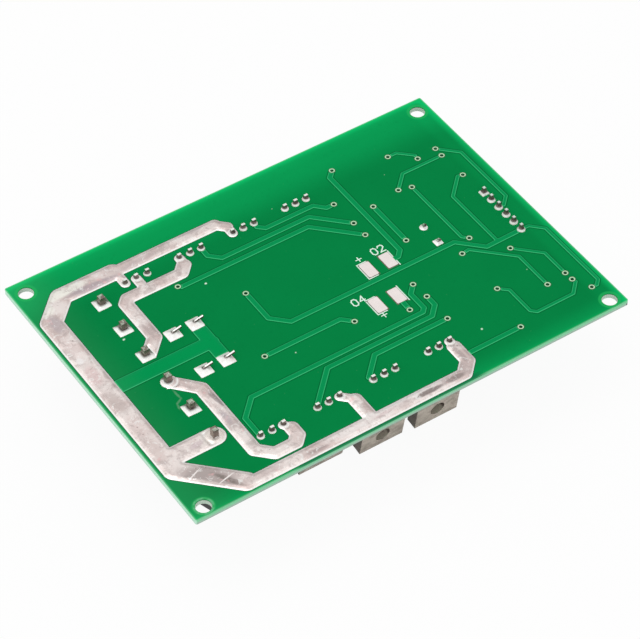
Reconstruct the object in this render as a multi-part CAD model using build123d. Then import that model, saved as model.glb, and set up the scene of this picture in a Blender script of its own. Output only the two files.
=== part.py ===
from build123d import *
from math import atan2, cos, degrees, hypot, radians, sin, tan
import os

os.makedirs("parts", exist_ok=True)

# A dual bridge motor driver board, seen from its solder side. Sizes are in millimetres.
# The origin is the centre of the four screw holes, on the solder face. +X runs along the long
# side away from the terminals, +Y towards the far long side, and +Z up out of the solder face.
# The parts hang below the board, and it stands on the tips of its eight transistors.

# Board
board_length = 100.0
board_width = 71.0
board_thick = 1.2
corner_radius = 0.4
hole_bore = 3.2
hole_inset_side = 3.0
hole_inset_far = 3.4
hole_inset_near = 2.2

# The inner layout is drawn for a board of this size, and stretches with the board
layout_length = 100.0
layout_width = 71.0

# Copper and solder on the two faces
mask_relief = 0.05
pad_thick = 0.06
rim_thick = 0.14
crown_thick = 0.32
crown_inset = 0.38
track_wide = 1.15
track_narrow = 0.8
wide_bus = 4.5
narrow_bus = 3.0
corner_width = 2.6
stub_width = 2.05
hidden_track = 0.6
hidden_wide = 2.3
hidden_pad = 1.9
via_bore = 0.7
via_ring = 1.5
trace_gap = 0.5
pad_across = 3.1
round_pad = 3.5

# Solder joints
joint_base = 1.7
joint_height = 0.85
header_land = 1.75
peak_height = 1.7
joint_slot = 8.0

# Transistors: moulded cases with three leads, standing in two rows of four
pin_pitch = 2.54
row_count = 4
far_row_inset = 12.1
far_row_gap = 0.27
far_row_pitch = 12.55
near_row_inset = 10.55
near_row_gap = 0.72
near_row_pitch = 12.8
stand_height = 19.55
case_width = 10.16
case_height = 15.87
case_depth = 4.7
tab_depth = 2.54
tab_height = 6.7
tab_hole = 3.3
tab_hole_inset = 3.3
back_to_leads = 2.76
bend_drop = 0.5
lead_width = 0.8
lead_thick = 0.5
lead_bury = 0.8
shoulder_width = 1.3
lead_rise = 1.25
lead_hole = 1.1
far_row_leans = (6.0, 8.5, 7.0, 9.5)
near_row_leans = (21.0, 16.8, 10.4, 8.8)

# Terminal block: six ways between raised walls
terminal_count = 6
terminal_pitch = 8.25
terminal_inset = 13.8
terminal_offset = 1.2
housing_depth = 10.7
housing_inner = 3.9
housing_base = 5.0
housing_height = 13.2
housing_floor = 1.6
wall_thick = 1.3
contact_thick = 1.0
contact_width = 6.2
contact_gap = 0.2
terminal_pin = 1.2
terminal_rise = 2.5
terminal_hole = 1.9
screw_thread = 3.5
screw_length = 5.2
screw_head = 5.8
screw_head_height = 2.1
clamp_across = 6.2
clamp_thick = 0.9
screw_setback = 3.4

# Round capacitors
can_diameter = 10.0
large_can_height = 16.0
small_can_height = 12.5
can_lead_pitch = 5.0
can_lead = 0.6
can_lead_hole = 0.9
large_can_gap = 0.9
large_can_spots = (7.1, -4.25)
small_can_spot = (28.3, 1.5)
can_wall = 0.35
seal_lip = 0.4
seal_top = 2.6
seal_recess = 0.9

# Control header
header_count = 6
header_inset = 5.75
header_offset = -1.0
header_pin = 0.64
header_body = 2.5
header_rise = 1.7
header_reach = 8.5
header_hole = 1.02

# Chips and small surface parts on the component side
lead_pitch = 1.27
chip_body_width = 3.9
chip_span = 6.0
chip_height = 1.5
chip_standoff = 0.15
chip_lead_width = 0.42
chip_lead_thick = 0.2
driver_spots = ((23.0, 20.8), (23.0, 8.8), (23.0, -7.2), (23.0, -18.3))
driver_leads = 8
logic_spot = (37.4, 5.2)
logic_leads = 14
small_length = 2.0
small_width = 1.25
small_height = 0.6
small_end = 0.35
far_resistor_setback = 6.2
near_resistor_setback = 4.4
boost_offset = 5.6
regulator_spot = (35.6, -15.2)
regulator_tab_offset = 3.6
regulator_foot_reach = 6.0
regulator_foot_length = 1.2
regulator_foot_spread = 2.28
diode_spots = ((10.5, 7.0), (10.5, -2.6))
diode_length = 4.4
diode_width = 2.6
diode_height = 2.2
diode_standoff = 0.2
diode_tab_thick = 0.14
lamp_spot = (43.0, 28.5)
lamp_resistor_spot = (38.6, 28.5)

# Edges and rows worked out from the sizes above
hole_span_x = board_length - 2 * hole_inset_side
hole_span_y = board_width - hole_inset_far - hole_inset_near
left_edge = -board_length / 2
right_edge = board_length / 2
far_edge = hole_span_y / 2 + hole_inset_far
near_edge = -hole_span_y / 2 - hole_inset_near
stretch_x = board_length / layout_length
stretch_y = board_width / layout_width
far_row_y = far_edge - far_row_inset * stretch_y
near_row_y = near_edge + near_row_inset * stretch_y
terminal_x = left_edge + terminal_inset * stretch_x
housing_edge = terminal_x + housing_inner
far_row_x = housing_edge + far_row_gap + case_width / 2
near_row_x = housing_edge + near_row_gap + case_width / 2
large_can_x = housing_edge + large_can_gap + can_diameter / 2
header_x = right_edge - header_inset * stretch_x

# Heavy tinned traces: the perimeter trace follows the board's edge
bus_left_x = left_edge + 0.8 + wide_bus / 2
bus_near_y = near_edge + 0.6 + narrow_bus / 2
bus_far_y = far_row_y + 4.0
far_chamfer = 5.2
near_chamfer = 10.35
output_x = terminal_x + 3.95
far_output_y = far_row_y - 3.7
near_output_y = bus_near_y + narrow_bus + trace_gap
output_via_y = far_output_y - narrow_bus / 2 - trace_gap - via_ring / 2


def spread(*spots):
    """Spots of the drawn layout, stretched to the board's own length and width."""
    return [(x * stretch_x, y * stretch_y) for x, y in spots]


def far_pin(index, pin):
    """Place of pin 1 to 3 of transistor 1 to 4 in the far row."""
    x = far_row_x + (index - 1) * far_row_pitch * stretch_x + (pin - 2) * pin_pitch
    return (x, far_row_y)


def near_pin(index, pin):
    """Place of pin 1 to 3 of transistor 1 to 4 in the near row."""
    x = near_row_x + (index - 1) * near_row_pitch * stretch_x + (pin - 2) * pin_pitch
    return (x, near_row_y)


def terminal_way(index):
    """Place of terminal pin 1 to 6, counted from the far side."""
    return (terminal_x, terminal_offset + ((terminal_count + 1) / 2 - index) * terminal_pitch)


def header_way(index):
    """Place of header pin 1 to 6, counted from the far side."""
    return (header_x, header_offset + ((header_count + 1) / 2 - index) * pin_pitch)


driver_places = spread(*driver_spots)
diode_places = spread(*diode_spots)
logic_place, regulator_place, small_can_place = spread(logic_spot, regulator_spot, small_can_spot)
lamp_place, lamp_resistor_place = spread(lamp_spot, lamp_resistor_spot)
large_can_places = [(large_can_x, y * stretch_y) for y in large_can_spots]

transistor_pins = [
    place(index, pin)
    for place in (far_pin, near_pin)
    for index in range(1, row_count + 1)
    for pin in (1, 2, 3)
]
terminal_pins = [terminal_way(index) for index in range(1, terminal_count + 1)]
header_pins = [header_way(index) for index in range(1, header_count + 1)]
large_can_pins = [
    (x + side * can_lead_pitch / 2, y) for x, y in large_can_places for side in (-1, 1)
]
small_can_pins = [
    (small_can_place[0], small_can_place[1] + side * can_lead_pitch / 2) for side in (1, -1)
]
row_steps = range(1, row_count + 1)
far_resistors = [(far_pin(step, 1)[0], far_row_y - far_resistor_setback) for step in row_steps]
near_resistors = [(near_pin(step, 1)[0], near_row_y + near_resistor_setback) for step in row_steps]

# Masked tracks of the solder face: width, route, and which ends carry a via.
tracks = [
    (
        track_wide,
        spread((22.3, 28.0), (20.75, 26.45), (20.75, 1.5), (19.4, 0.1), (17.2, 0.1)),
        "first",
    ),
    (
        track_wide,
        [far_pin(3, 3)] + spread((0.7, 22.8), (2.0, 21.6), (13.4, 21.6), (15.3, 19.6), (17.1, 19.6)),
        "last",
    ),
    (
        track_wide,
        [far_pin(2, 3)] + spread((-11.9, 21.5), (-9.8, 19.4), (10.9, 19.4), (17.4, 12.9)),
        "last",
    ),
    (
        track_wide,
        [(far_pin(1, 3)[0] + 3.11, output_via_y)] + spread((-20.8, 17.1), (9.2, 17.1), (17.45, 8.85)),
        "both",
    ),
    (
        track_wide,
        spread((-11.2, 8.55), (-11.2, 0.4), (-8.0, -2.8), (31.0, -2.8), (35.65, -7.45))
        + [header_way(6)],
        "first",
    ),
    (track_wide, spread((-17.3, -7.65), (0.25, -7.65), (2.25, -9.65)), "both"),
    (
        track_wide,
        [near_pin(1, 1)]
        + spread((-29.0, -18.9), (-25.15, -15.05), (14.7, -15.05))
        + spread((15.55, -14.2), (15.55, -9.7), (17.45, -7.8)),
        "last",
    ),
    (
        track_wide,
        [near_pin(2, 1)]
        + spread((-15.9, -23.8), (-9.0, -16.9), (15.6, -16.9), (17.8, -14.7), (17.8, -12.0)),
        "last",
    ),
    (
        track_wide,
        [near_pin(3, 1)] + spread((-3.8, -23.4), (0.5, -19.1), (17.7, -19.1)),
        "last",
    ),
    (track_wide, spread((13.05, -9.0), (12.95, -13.1)), "last"),
    (track_wide, spread((23.35, 14.6), (23.35, 3.0)), "both"),
    (track_wide, [(near_pin(4, 3)[0], -28.85 * stretch_y)] + spread((28.2, -28.85)), "last"),
    (track_narrow, spread((34.1, 24.95), (36.2, 24.95), (39.0, 22.3), (38.9, 21.1)), "both"),
    (track_narrow, spread((30.3, 15.7), (33.8, 19.2), (43.55, 19.15)), "both"),
    (
        track_narrow,
        spread((43.65, 21.5), (47.45, 17.7), (47.45, 2.2), (45.5, 0.27)) + [header_way(3)],
        "first",
    ),
    (track_narrow, spread((33.1, 14.9), (33.1, -2.4), (34.2, -3.5)), "both"),
    (track_narrow, spread((43.8, 12.05), (42.7, 12.3), (38.4, 8.0), (38.4, -7.45)), "first"),
    (track_narrow, spread((30.45, -6.3), (32.2, -6.1), (39.4, -13.2), (39.4, -22.6)), "both"),
    (track_narrow, spread((39.3, -10.4), (44.2, -15.3), (44.2, -22.0)), "both"),
    (
        track_narrow,
        spread((30.5, -18.0), (32.3, -19.6), (32.3, -26.4), (33.3, -27.4))
        + spread((42.1, -27.4), (44.5, -25.0), (44.3, -24.15)),
        "both",
    ),
    (
        track_narrow,
        [header_way(6)]
        + spread((46.1, -7.35), (48.5, -9.8), (48.5, -27.0), (47.4, -28.1), (46.2, -28.0)),
        "last",
    ),
]
supply_link = [(bus_left_x, 1.3 * stretch_y), (large_can_pins[1][0], 1.3 * stretch_y)]
supply_cross = [large_can_pins[1], large_can_pins[3]]

# Tracks of the component side, which the photograph doesn't show. The wide ones carry the supply
# from terminal 2 and the outputs of terminals 1 and 5.
side_tracks = [
    (hidden_wide, [terminal_way(1)] + spread((-31.5, 27.6), (-4.0, 27.6)) + [far_pin(3, 2)]),
    (hidden_wide, spread((-4.0, 27.6), (5.2, 27.6)) + [far_pin(4, 1)]),
    (
        hidden_wide,
        [terminal_way(2), large_can_pins[0], large_can_pins[2]] + spread((-26.5, -13.0)) + [near_pin(1, 2)],
    ),
    (
        hidden_wide,
        [large_can_pins[0]]
        + spread((-28.9, 10.0), (-25.4, 13.5), (9.0, 13.5), (10.7, 15.2))
        + [far_pin(4, 2)],
    ),
    (hidden_wide, spread((-14.4, 13.5)) + [far_pin(2, 2)]),
    (hidden_wide, spread((-26.5, -13.0), (-3.0, -13.0), (-0.9, -15.1)) + [near_pin(3, 2)]),
    (
        hidden_wide,
        [terminal_way(5)]
        + spread((-33.0, -14.4), (-33.0, -26.0), (-30.4, -28.6), (8.0, -28.6))
        + [near_pin(4, 2)],
    ),
    (hidden_wide, spread((1.64, -28.6)) + [near_pin(3, 3)]),
    (hidden_wide, [near_pin(1, 3)] + spread((-21.5, -21.6), (-15.8, -21.6)) + [near_pin(2, 2)]),
    (hidden_track, spread((17.1, 19.6), (20.3, 20.17))),
    (hidden_track, spread((17.4, 12.9), (18.6, 12.9), (20.3, 10.7))),
    (hidden_track, spread((17.45, 8.85), (20.3, 8.17))),
    (hidden_track, spread((17.45, -7.8), (20.3, -7.84))),
    (hidden_track, spread((17.8, -12.0), (18.8, -12.0), (20.3, -9.1))),
    (hidden_track, spread((17.7, -19.1), (20.3, -18.94))),
    (hidden_track, spread((25.7, 22.7), (31.8, 22.7), (34.1, 24.95))),
    (hidden_track, spread((25.7, 10.07), (27.2, 10.07), (30.3, 13.2), (30.3, 15.7))),
    (hidden_track, spread((33.1, 14.9), (34.7, 13.3), (34.7, 9.01))),
    (hidden_track, spread((34.2, -3.5), (34.7, 1.39))),
    (hidden_track, spread((30.45, -6.3), (27.0, -6.3), (25.7, -6.57))),
    (hidden_track, spread((30.5, -18.0), (25.7, -17.67))),
    (hidden_track, spread((40.1, 9.01), (43.8, 12.05))),
    (hidden_track, spread((40.1, 3.93), (41.3, 2.81)) + [header_way(2)]),
    (hidden_track, spread((39.4, 28.5), (42.1, 28.5))),
    (hidden_track, spread((37.8, 28.5), (34.1, 24.95))),
]

# Bare tinned pads for two parts that aren't fitted: centre of each pad
bare_pads = spread((12.5, 0.4), (17.15, 0.4), (8.45, -8.55), (13.05, -8.55))
bare_pad_size = (2.3, 4.0)


def via_places():
    """Ends of the masked tracks that carry a via."""
    places = []
    for _, route, ends in tracks:
        if ends in ("first", "both"):
            places.append(route[0])
        if ends in ("last", "both"):
            places.append(route[-1])
    return places


def ribbon(route, width):
    """Flat face along a route, with round ends and corners."""
    face = Sketch()
    for (x0, y0), (x1, y1) in zip(route, route[1:]):
        run = hypot(x1 - x0, y1 - y0)
        turn = degrees(atan2(y1 - y0, x1 - x0))
        face += Pos((x0 + x1) / 2, (y0 + y1) / 2) * Rot(0, 0, turn) * SlotCenterToCenter(run, width)
    return face


def discs(places, diameter):
    """Flat round faces at a list of places."""
    return Sketch() + [Pos(x, y) * Circle(diameter / 2) for x, y in places]


def squares(places, across, depth=None):
    """Flat square or oblong faces at a list of places."""
    return Sketch() + [Pos(x, y) * Rectangle(across, depth or across) for x, y in places]


def hang(shape, x, y, turn=0, lift=0):
    """Turn an upright part over and seat it against the component face."""
    return Pos(x, y, -board_thick - lift) * Rot(180, 0, 0) * Rot(0, 0, turn) * shape


def save(name, shapes):
    """Write one sub-part, made of one or more separate solids."""
    solids = [solid for shape in shapes for solid in shape.solids()]
    export_step(Compound(solids), f"parts/{name}.step")


def circuit_board():
    """Drilled laminate sheet."""
    holes = [(side * hole_span_x / 2, end * hole_span_y / 2) for side in (-1, 1) for end in (-1, 1)]
    sheet = Pos(0, (far_edge + near_edge) / 2) * RectangleRounded(board_length, board_width, corner_radius)
    sheet -= discs(holes, hole_bore)
    sheet -= holes_face()
    return extrude(sheet, -board_thick)


def perimeter_face(inset):
    """Outline of the trace that runs round three sides to the last terminal."""
    wide_end = (bus_left_x + near_chamfer - 0.7, bus_near_y + 0.7)
    corner = (bus_left_x + near_chamfer, bus_near_y)
    hook_x = near_pin(4, 3)[0]
    branch_x = near_pin(2, 3)[0] + 2.05
    last_far = far_pin(3, 1)
    face = ribbon(
        [
            (far_pin(1, 1)[0] - 0.5, bus_far_y),
            (bus_left_x + far_chamfer, bus_far_y),
            (bus_left_x, bus_far_y - far_chamfer),
            (bus_left_x, bus_near_y + near_chamfer),
            wide_end,
        ],
        wide_bus - 2 * inset,
    )
    narrow = narrow_bus - 2 * inset
    stub = stub_width - 2 * inset
    far_bend = (last_far[0] - 1.8, bus_far_y)
    far_drop = (last_far[0], bus_far_y - 1.75)
    near_bend = (hook_x - 2.5, bus_near_y)
    near_rise = (hook_x, bus_near_y + 2.5)
    face += ribbon([(far_pin(1, 1)[0], bus_far_y), far_bend], narrow)
    face += ribbon([wide_end, corner, near_bend, near_rise, (hook_x, near_row_y - 1.6)], narrow)
    face += ribbon([(branch_x, bus_near_y), (branch_x, near_row_y - 2.2)], narrow)
    face += ribbon([(bus_left_x, terminal_way(6)[1]), terminal_way(6)], wide_bus - 2 * inset)
    face += ribbon([far_bend, far_drop], corner_width - 2 * inset)
    face += ribbon([far_drop, last_far], stub)
    face += ribbon([(far_pin(1, 1)[0], bus_far_y), far_pin(1, 1)], stub)
    face += ribbon([(hook_x, near_row_y - 1.6), near_pin(4, 3)], stub)
    face += ribbon([(branch_x, near_row_y - 2.0), near_pin(2, 3)], stub)
    return face


def far_output_face(inset):
    """Outline of the trace from terminal 3 to the first two far transistors."""
    level = far_output_y
    start_x, start_y = terminal_way(3)
    hook = far_pin(2, 1)
    face = ribbon(
        [
            (start_x + 0.8, start_y),
            (output_x, start_y + 3.15),
            (output_x, level - 1.15),
            (output_x + 1.15, level),
            (hook[0] - 1.86, level),
            (hook[0] - 0.2, level + 1.7),
        ],
        narrow_bus - 2 * inset,
    )
    face += ribbon([(hook[0], level + 1.7), hook], stub_width - 2 * inset)
    face += ribbon([(far_pin(1, 2)[0], level), far_pin(1, 2)], stub_width - 2 * inset)
    return face


def near_output_face(inset):
    """Outline of the trace from terminal 4 round to the first near transistor."""
    level = near_output_y
    start_x, start_y = terminal_way(4)
    hook = near_pin(1, 3)
    down_x = output_x + 0.45
    rise_x = hook[0] + 0.9
    face = ribbon(
        [
            (start_x, start_y),
            (down_x, start_y - 4.95),
            (down_x, level + 2.75),
            (down_x + 2.75, level),
            (rise_x - 1.45, level),
            (rise_x, level + 1.45),
            (rise_x, near_row_y - 1.4),
        ],
        narrow_bus - 2 * inset,
    )
    face += ribbon([(rise_x - 0.15, near_row_y - 1.2), hook], stub_width - 2 * inset)
    return face


def terminal_lands():
    """Square lands of the terminals, with a round one on the fourth."""
    rest = [place for place in terminal_pins if place != terminal_way(4)]
    return squares(rest, pad_across) + discs([terminal_way(4)], round_pad)


def power_trace(outline):
    """Copper trace with a thin rim and a thicker crown of solder inside it."""
    lands = discs(transistor_pins, joint_base) + terminal_lands()
    return extrude(outline(0) - lands, rim_thick) + extrude(outline(crown_inset) - lands, crown_thick)


def masked_tracks():
    """Copper relief under the green mask of the solder face."""
    face = Sketch()
    for width, route, _ in tracks:
        face += ribbon(route, width)
    face += ribbon(supply_link, 3.4)
    face += ribbon(supply_cross, 3.1)
    face -= perimeter_face(0) + far_output_face(0) + near_output_face(0)
    face -= discs(via_places(), via_ring)
    face -= discs(transistor_pins + header_pins, header_land)
    face -= squares(header_pins[:1], header_land)
    face -= squares(large_can_pins, pad_across)
    face -= squares(bare_pads, *bare_pad_size)
    return extrude(face, mask_relief)


def gate_links():
    """Short tracks of the component side, from each gate resistor to its transistor."""
    links = []
    for places, pin_place in ((far_resistors, far_pin), (near_resistors, near_pin)):
        for index, (x, y) in enumerate(places, 1):
            pin_x, pin_y = pin_place(index, 1)
            start = (x - small_length / 2, y)
            links.append((hidden_track, [start, (start[0], (y + 2 * pin_y) / 3), (pin_x, pin_y)]))
    return links


def lead_rows(place, count):
    """Places of the feet of a chip with two rows of leads."""
    per_side = count // 2
    reach = chip_span / 2 - 0.3
    steps = [(index - (per_side - 1) / 2) * lead_pitch for index in range(per_side)]
    return [(place[0] + side * reach, place[1] + step) for side in (-1, 1) for step in steps]


def component_side_pad_face():
    """Lands of the component side: lead rows, small parts, regulator, and rings round the holes."""
    feet = lead_rows(logic_place, logic_leads)
    for place in driver_places:
        feet += lead_rows(place, driver_leads)
    face = squares(feet, 1.3, 0.6)
    reach = small_length / 2
    lying = [(x, y) for x, y, turn in resistor_places()] + [lamp_place]
    across = [(x + side * reach, y) for x, y in lying for side in (-1, 1)]
    along = [(x, y + side * reach) for x, y, turn in ceramic_places() for side in (-1, 1)]
    face += squares(across, 1.0, 1.4) + squares(along, 1.4, 1.0)
    face += squares([(x + side * 2.1, y) for x, y in diode_places for side in (-1, 1)], 1.6, 2.0)
    centre_x, centre_y = regulator_place
    face += squares([(centre_x, centre_y - regulator_tab_offset)], 6.2, 6.4)
    foot_y = centre_y + regulator_foot_reach
    spreads = (-regulator_foot_spread, regulator_foot_spread)
    face += squares([(centre_x + step, foot_y) for step in spreads], 1.2, 1.8)
    face += discs(transistor_pins, hidden_pad) + discs(via_places(), via_ring)
    face += discs(large_can_pins + small_can_pins + header_pins, hidden_pad)
    face += squares(terminal_pins, pad_across)
    return face


def holes_face():
    """All the plated holes."""
    face = discs(via_places(), via_bore) + discs(transistor_pins, lead_hole)
    face += discs(header_pins, header_hole) + discs(terminal_pins, terminal_hole)
    return face + discs(large_can_pins + small_can_pins, can_lead_hole)


def component_side_pads():
    """Tinned lands of the component side."""
    return Pos(0, 0, -board_thick) * extrude(component_side_pad_face() - holes_face(), -pad_thick)


def component_side_tracks():
    """Copper relief under the mask of the component side."""
    face = Sketch()
    for width, route in side_tracks + gate_links():
        face += ribbon(route, width)
    face -= component_side_pad_face()
    return Pos(0, 0, -board_thick) * extrude(face, -mask_relief)


def via_rings():
    """Plated rings round the vias."""
    return extrude(discs(via_places(), via_ring) - discs(via_places(), via_bore), pad_thick)


def bare_pad_set():
    """Tinned pads with nothing fitted."""
    return [Pos(x, y) * extrude(RectangleRounded(*bare_pad_size, 0.3), pad_thick * 2) for x, y in bare_pads]


def solder_dome(base, height, neck):
    """Convex round fillet of solder, wider at its foot."""
    outline = Polyline((neck, height), (0, height), (0, 0), (base / 2, 0))
    flank = ThreePointArc((base / 2, 0), (base * 0.42, height * 0.55), (neck, height))
    return revolve(Plane.XZ * make_face(outline.edges() + flank.edges()), Axis.Z)


def solder_peak(across, height, neck):
    """Solder on a square pad, drawn up to a point round the lead."""
    foot = extrude(Rectangle(across, across), pad_thick)
    cone = loft([Pos(0, 0, pad_thick) * Rectangle(across, across), Pos(0, 0, height) * Circle(neck)])
    return foot + cone


def transistor_frame(place, lean, far_side):
    """Frame of a transistor at its lead bend: -Z runs down the case and -Y out of its back."""
    turn = 180 if far_side else 0
    return Pos(place[0], place[1], -board_thick - bend_drop) * Rot(0, 0, turn) * Rot(lean, 0, 0)


def case_reach(lean):
    """Distance down the case from the lead bend to the tip that stands on the ground."""
    drop = stand_height - bend_drop
    return (drop - back_to_leads * sin(radians(lean))) / cos(radians(lean))


def lead_strip(lean):
    """One bent lead: straight up through the board, and down into the case."""
    half = lead_thick / 2
    miter = tan(radians(lean) / 2) * half
    reach = case_reach(lean) - case_height + lead_bury
    down = (reach * sin(radians(lean)), -reach * cos(radians(lean)))
    side = (half * cos(radians(lean)), half * sin(radians(lean)))
    top = bend_drop + board_thick + lead_rise
    outline = Polyline(
        (-half, top),
        (half, top),
        (half, miter),
        (down[0] + side[0], down[1] + side[1]),
        (down[0] - side[0], down[1] - side[1]),
        (-half, -miter),
        close=True,
    )
    strip = extrude(Plane.YZ * make_face(outline), lead_width / 2, both=True)
    start = 1.0
    end = reach - lead_bury
    shoulder = Pos(0, 0, -(start + end) / 2) * Box(shoulder_width, lead_thick, end - start)
    return strip + Rot(lean, 0, 0) * shoulder


def transistor_leads(place, lean, far_side):
    """The three leads of one transistor."""
    upright = Pos(place[0], place[1], -board_thick - bend_drop) * Rot(0, 0, 180 if far_side else 0)
    return [upright * Pos(offset * pin_pitch, 0, 0) * lead_strip(lean) for offset in (-1, 0, 1)]


def transistor_case(place, lean, far_side, leads):
    """Moulded case: a thick body, and a thinner mounting end with its hole and side notches."""
    back = -back_to_leads
    tip = -case_reach(lean)
    top = tip + case_height
    step = tip + tab_height
    outline = Polyline(
        (back, top),
        (back, tip),
        (back + tab_depth, tip),
        (back + tab_depth, step),
        (back + case_depth - 0.5, step + 0.5),
        (back + case_depth, step + 1.0),
        (back + case_depth, top + 0.7),
        (back + case_depth - 0.7, top),
        close=True,
    )
    case = extrude(Plane.YZ * make_face(outline), case_width / 2, both=True)
    uprights = case.edges().filter_by(Axis.Z).sort_by(Axis.Y)[-2:]
    case = chamfer(uprights, 0.6)
    case -= Pos(0, back, tip + tab_hole_inset) * Rot(90, 0, 0) * Cylinder(tab_hole / 2, 3 * tab_depth)
    for side in (-1, 1):
        notch = Pos(side * case_width / 2, back + tab_depth, step - 0.9)
        case -= notch * Rot(90, 0, 0) * Cylinder(0.8, tab_depth)
    seated = transistor_frame(place, lean, far_side) * case
    for lead in leads:
        seated -= lead
    return seated


def terminal_housing():
    """Moulded base with a raised wall between the ways and a low back."""
    outer = housing_inner - housing_depth
    length = terminal_count * terminal_pitch + wall_thick
    middle = (outer + housing_inner) / 2
    base = Pos(middle, 0, housing_base / 2) * Box(housing_depth, length, housing_base)
    back = Pos(housing_inner - wall_thick / 2, 0, housing_height * 0.42) * Box(
        wall_thick, length, housing_height * 0.84
    )
    profile = Polyline(
        (outer, 0),
        (housing_inner, 0),
        (housing_inner, housing_height - 1.5),
        (housing_inner - 1.5, housing_height),
        (outer + 2.6, housing_height),
        (outer, housing_height - 4.0),
        close=True,
    )
    wall = extrude(Plane.XZ * make_face(profile), wall_thick / 2, both=True)
    housing = base + back
    for index in range(terminal_count + 1):
        housing += Pos(0, (index - terminal_count / 2) * terminal_pitch, 0) * wall
    recess = Pos(middle, 0, 0.4) * Box(housing_depth - 2.4, length - 2.4, 0.8)
    housing -= recess
    for index in range(1, terminal_count + 1):
        y = terminal_way(index)[1] - terminal_offset
        slot = Pos(0, y, housing_base / 2) * Box(terminal_pin + 0.2, terminal_pin + 0.2, housing_base)
        depth = housing_base - housing_floor
        bore = Pos(-screw_setback, y, housing_floor + depth / 2) * Cylinder(screw_thread / 2 + 0.3, depth)
        housing -= slot + bore
    return housing


def terminal_contact(index):
    """Flat contact plate with its pin, threaded for the clamping screw."""
    y = terminal_way(index)[1] - terminal_offset
    plate_length = housing_depth - wall_thick - 2 * contact_gap
    plate_middle = housing_inner - wall_thick - contact_gap - plate_length / 2
    level = housing_base + contact_thick / 2
    plate = Pos(plate_middle, y, level) * Box(plate_length, contact_width, contact_thick)
    plate -= Pos(-screw_setback, y, level) * Cylinder(screw_thread / 2, 2 * contact_thick)
    drop = board_thick + terminal_rise
    pin = Pos(0, y, (housing_base - drop) / 2) * Box(terminal_pin, terminal_pin, housing_base + drop)
    tip = pin.faces().sort_by(Axis.Z)[0]
    pin = chamfer(tip.edges(), 0.3)
    return plate + pin


def terminal_clamp(index):
    """Square washer that the screw presses on the conductor."""
    y = terminal_way(index)[1] - terminal_offset
    level = housing_base + contact_thick + clamp_thick / 2
    plate = Box(clamp_across, clamp_across, clamp_thick)
    plate = chamfer(plate.edges().filter_by(Axis.Z), 0.8)
    plate -= Cylinder(screw_thread / 2 + 0.15, 2 * clamp_thick)
    return Pos(-screw_setback, y, level) * plate


def terminal_screw(index):
    """Pan-head screw with a slot across its head."""
    y = terminal_way(index)[1] - terminal_offset
    seat = housing_base + contact_thick + clamp_thick
    shank = Pos(0, 0, seat - screw_length / 2) * Cylinder(screw_thread / 2, screw_length)
    head = Pos(0, 0, seat + screw_head_height / 2) * Cylinder(screw_head / 2, screw_head_height)
    head = chamfer(head.edges().sort_by(Axis.Z)[-1], 0.6)
    screw = head + shank
    screw -= Pos(0, 0, seat + screw_head_height) * Box(screw_head + 1, 1.0, 1.6)
    screw -= Pos(0, 0, seat + screw_head_height) * Box(1.0, screw_head * 0.62, 1.6)
    return Pos(-screw_setback, y, 0) * screw


def capacitor_can(height):
    """Drawn can with its rolled groove near the open end and a rounded far rim."""
    radius = can_diameter / 2
    neck = radius - seal_recess
    outline = Polyline(
        (0, height - can_wall),
        (radius - can_wall, height - can_wall),
        (radius - can_wall, seal_top + 0.9),
        (neck, seal_top + 0.3),
        (neck, seal_lip),
        (radius - can_wall, seal_lip),
        (radius, seal_lip + 0.5),
        (radius, seal_lip + 1.2),
        (radius - 0.45, seal_lip + 1.7),
        (radius - 0.45, seal_lip + 1.9),
        (radius, seal_lip + 2.4),
        (radius, height - 0.5),
        (radius - 0.5, height),
        (0, height),
        close=True,
    )
    return revolve(Plane.XZ * make_face(outline), Axis.Z)


def capacitor_winding(height):
    """Rolled foil and paper between the seal and the closed end of the can."""
    length = height - can_wall - seal_top
    return Pos(0, 0, seal_top + length / 2) * Cylinder(can_diameter / 2 - seal_recess, length)


def capacitor_seal():
    """Rubber plug in the open end of a can."""
    radius = can_diameter / 2 - seal_recess
    plug = Pos(0, 0, (seal_lip + seal_top) / 2) * Cylinder(radius, seal_top - seal_lip)
    for side in (-1, 1):
        plug -= Pos(side * can_lead_pitch / 2, 0, 1.5) * Cylinder(can_lead / 2, 4)
    return plug


def capacitor_lead(side, clinch):
    """Round lead from the seal through the board, its cut end bent over."""
    x = side * can_lead_pitch / 2
    rise = board_thick + 0.75
    route = FilletPolyline((x, 0, 2.4), (x, 0, -rise), (x + clinch, 0, -rise - 0.45), radius=0.4)
    return sweep(Plane(origin=(x, 0, 2.4), z_dir=(0, 0, -1)) * Circle(can_lead / 2), path=route)


def header_housing():
    """Strip of insulator with a waist between the ways."""
    half = header_body / 2
    strip = Sketch()
    for x, y in header_pins:
        cell = Pos(0, y - header_offset) * Rectangle(header_body, pin_pitch)
        strip += chamfer(cell.vertices(), 0.45)
    strip -= squares([(0, y - header_offset) for _, y in header_pins], header_pin)
    waist = Sketch() + [
        Pos(0, (index - header_count / 2) * pin_pitch) * Rectangle(header_body - 0.9, 0.2)
        for index in range(1, header_count)
    ]
    return extrude(strip + waist, 2 * half)


def header_pin_shape():
    """Square pin, pointed at both ends."""
    length = header_rise + board_thick + header_reach
    pin = Box(header_pin, header_pin, length)
    ends = pin.faces().sort_by(Axis.Z)[0].edges() + pin.faces().sort_by(Axis.Z)[-1].edges()
    pin = chamfer(ends, 0.18)
    return Pos(0, 0, (header_reach - board_thick - header_rise) / 2) * pin


def gull_lead(inner, outer, level):
    """Flat lead that leaves the body, bends down and ends in a foot on its pad."""
    half = chip_lead_thick / 2
    foot = pad_thick + half
    route = [(inner, level), (inner + 0.35, level), (outer - 0.62, foot), (outer, foot)]
    upper = [(x, z + half) for x, z in route]
    lower = [(x, z - half) for x, z in reversed(route)]
    outline = Polyline(*upper, *lower, close=True)
    return extrude(Plane.XZ * make_face(outline), chip_lead_width / 2, both=True)


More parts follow.
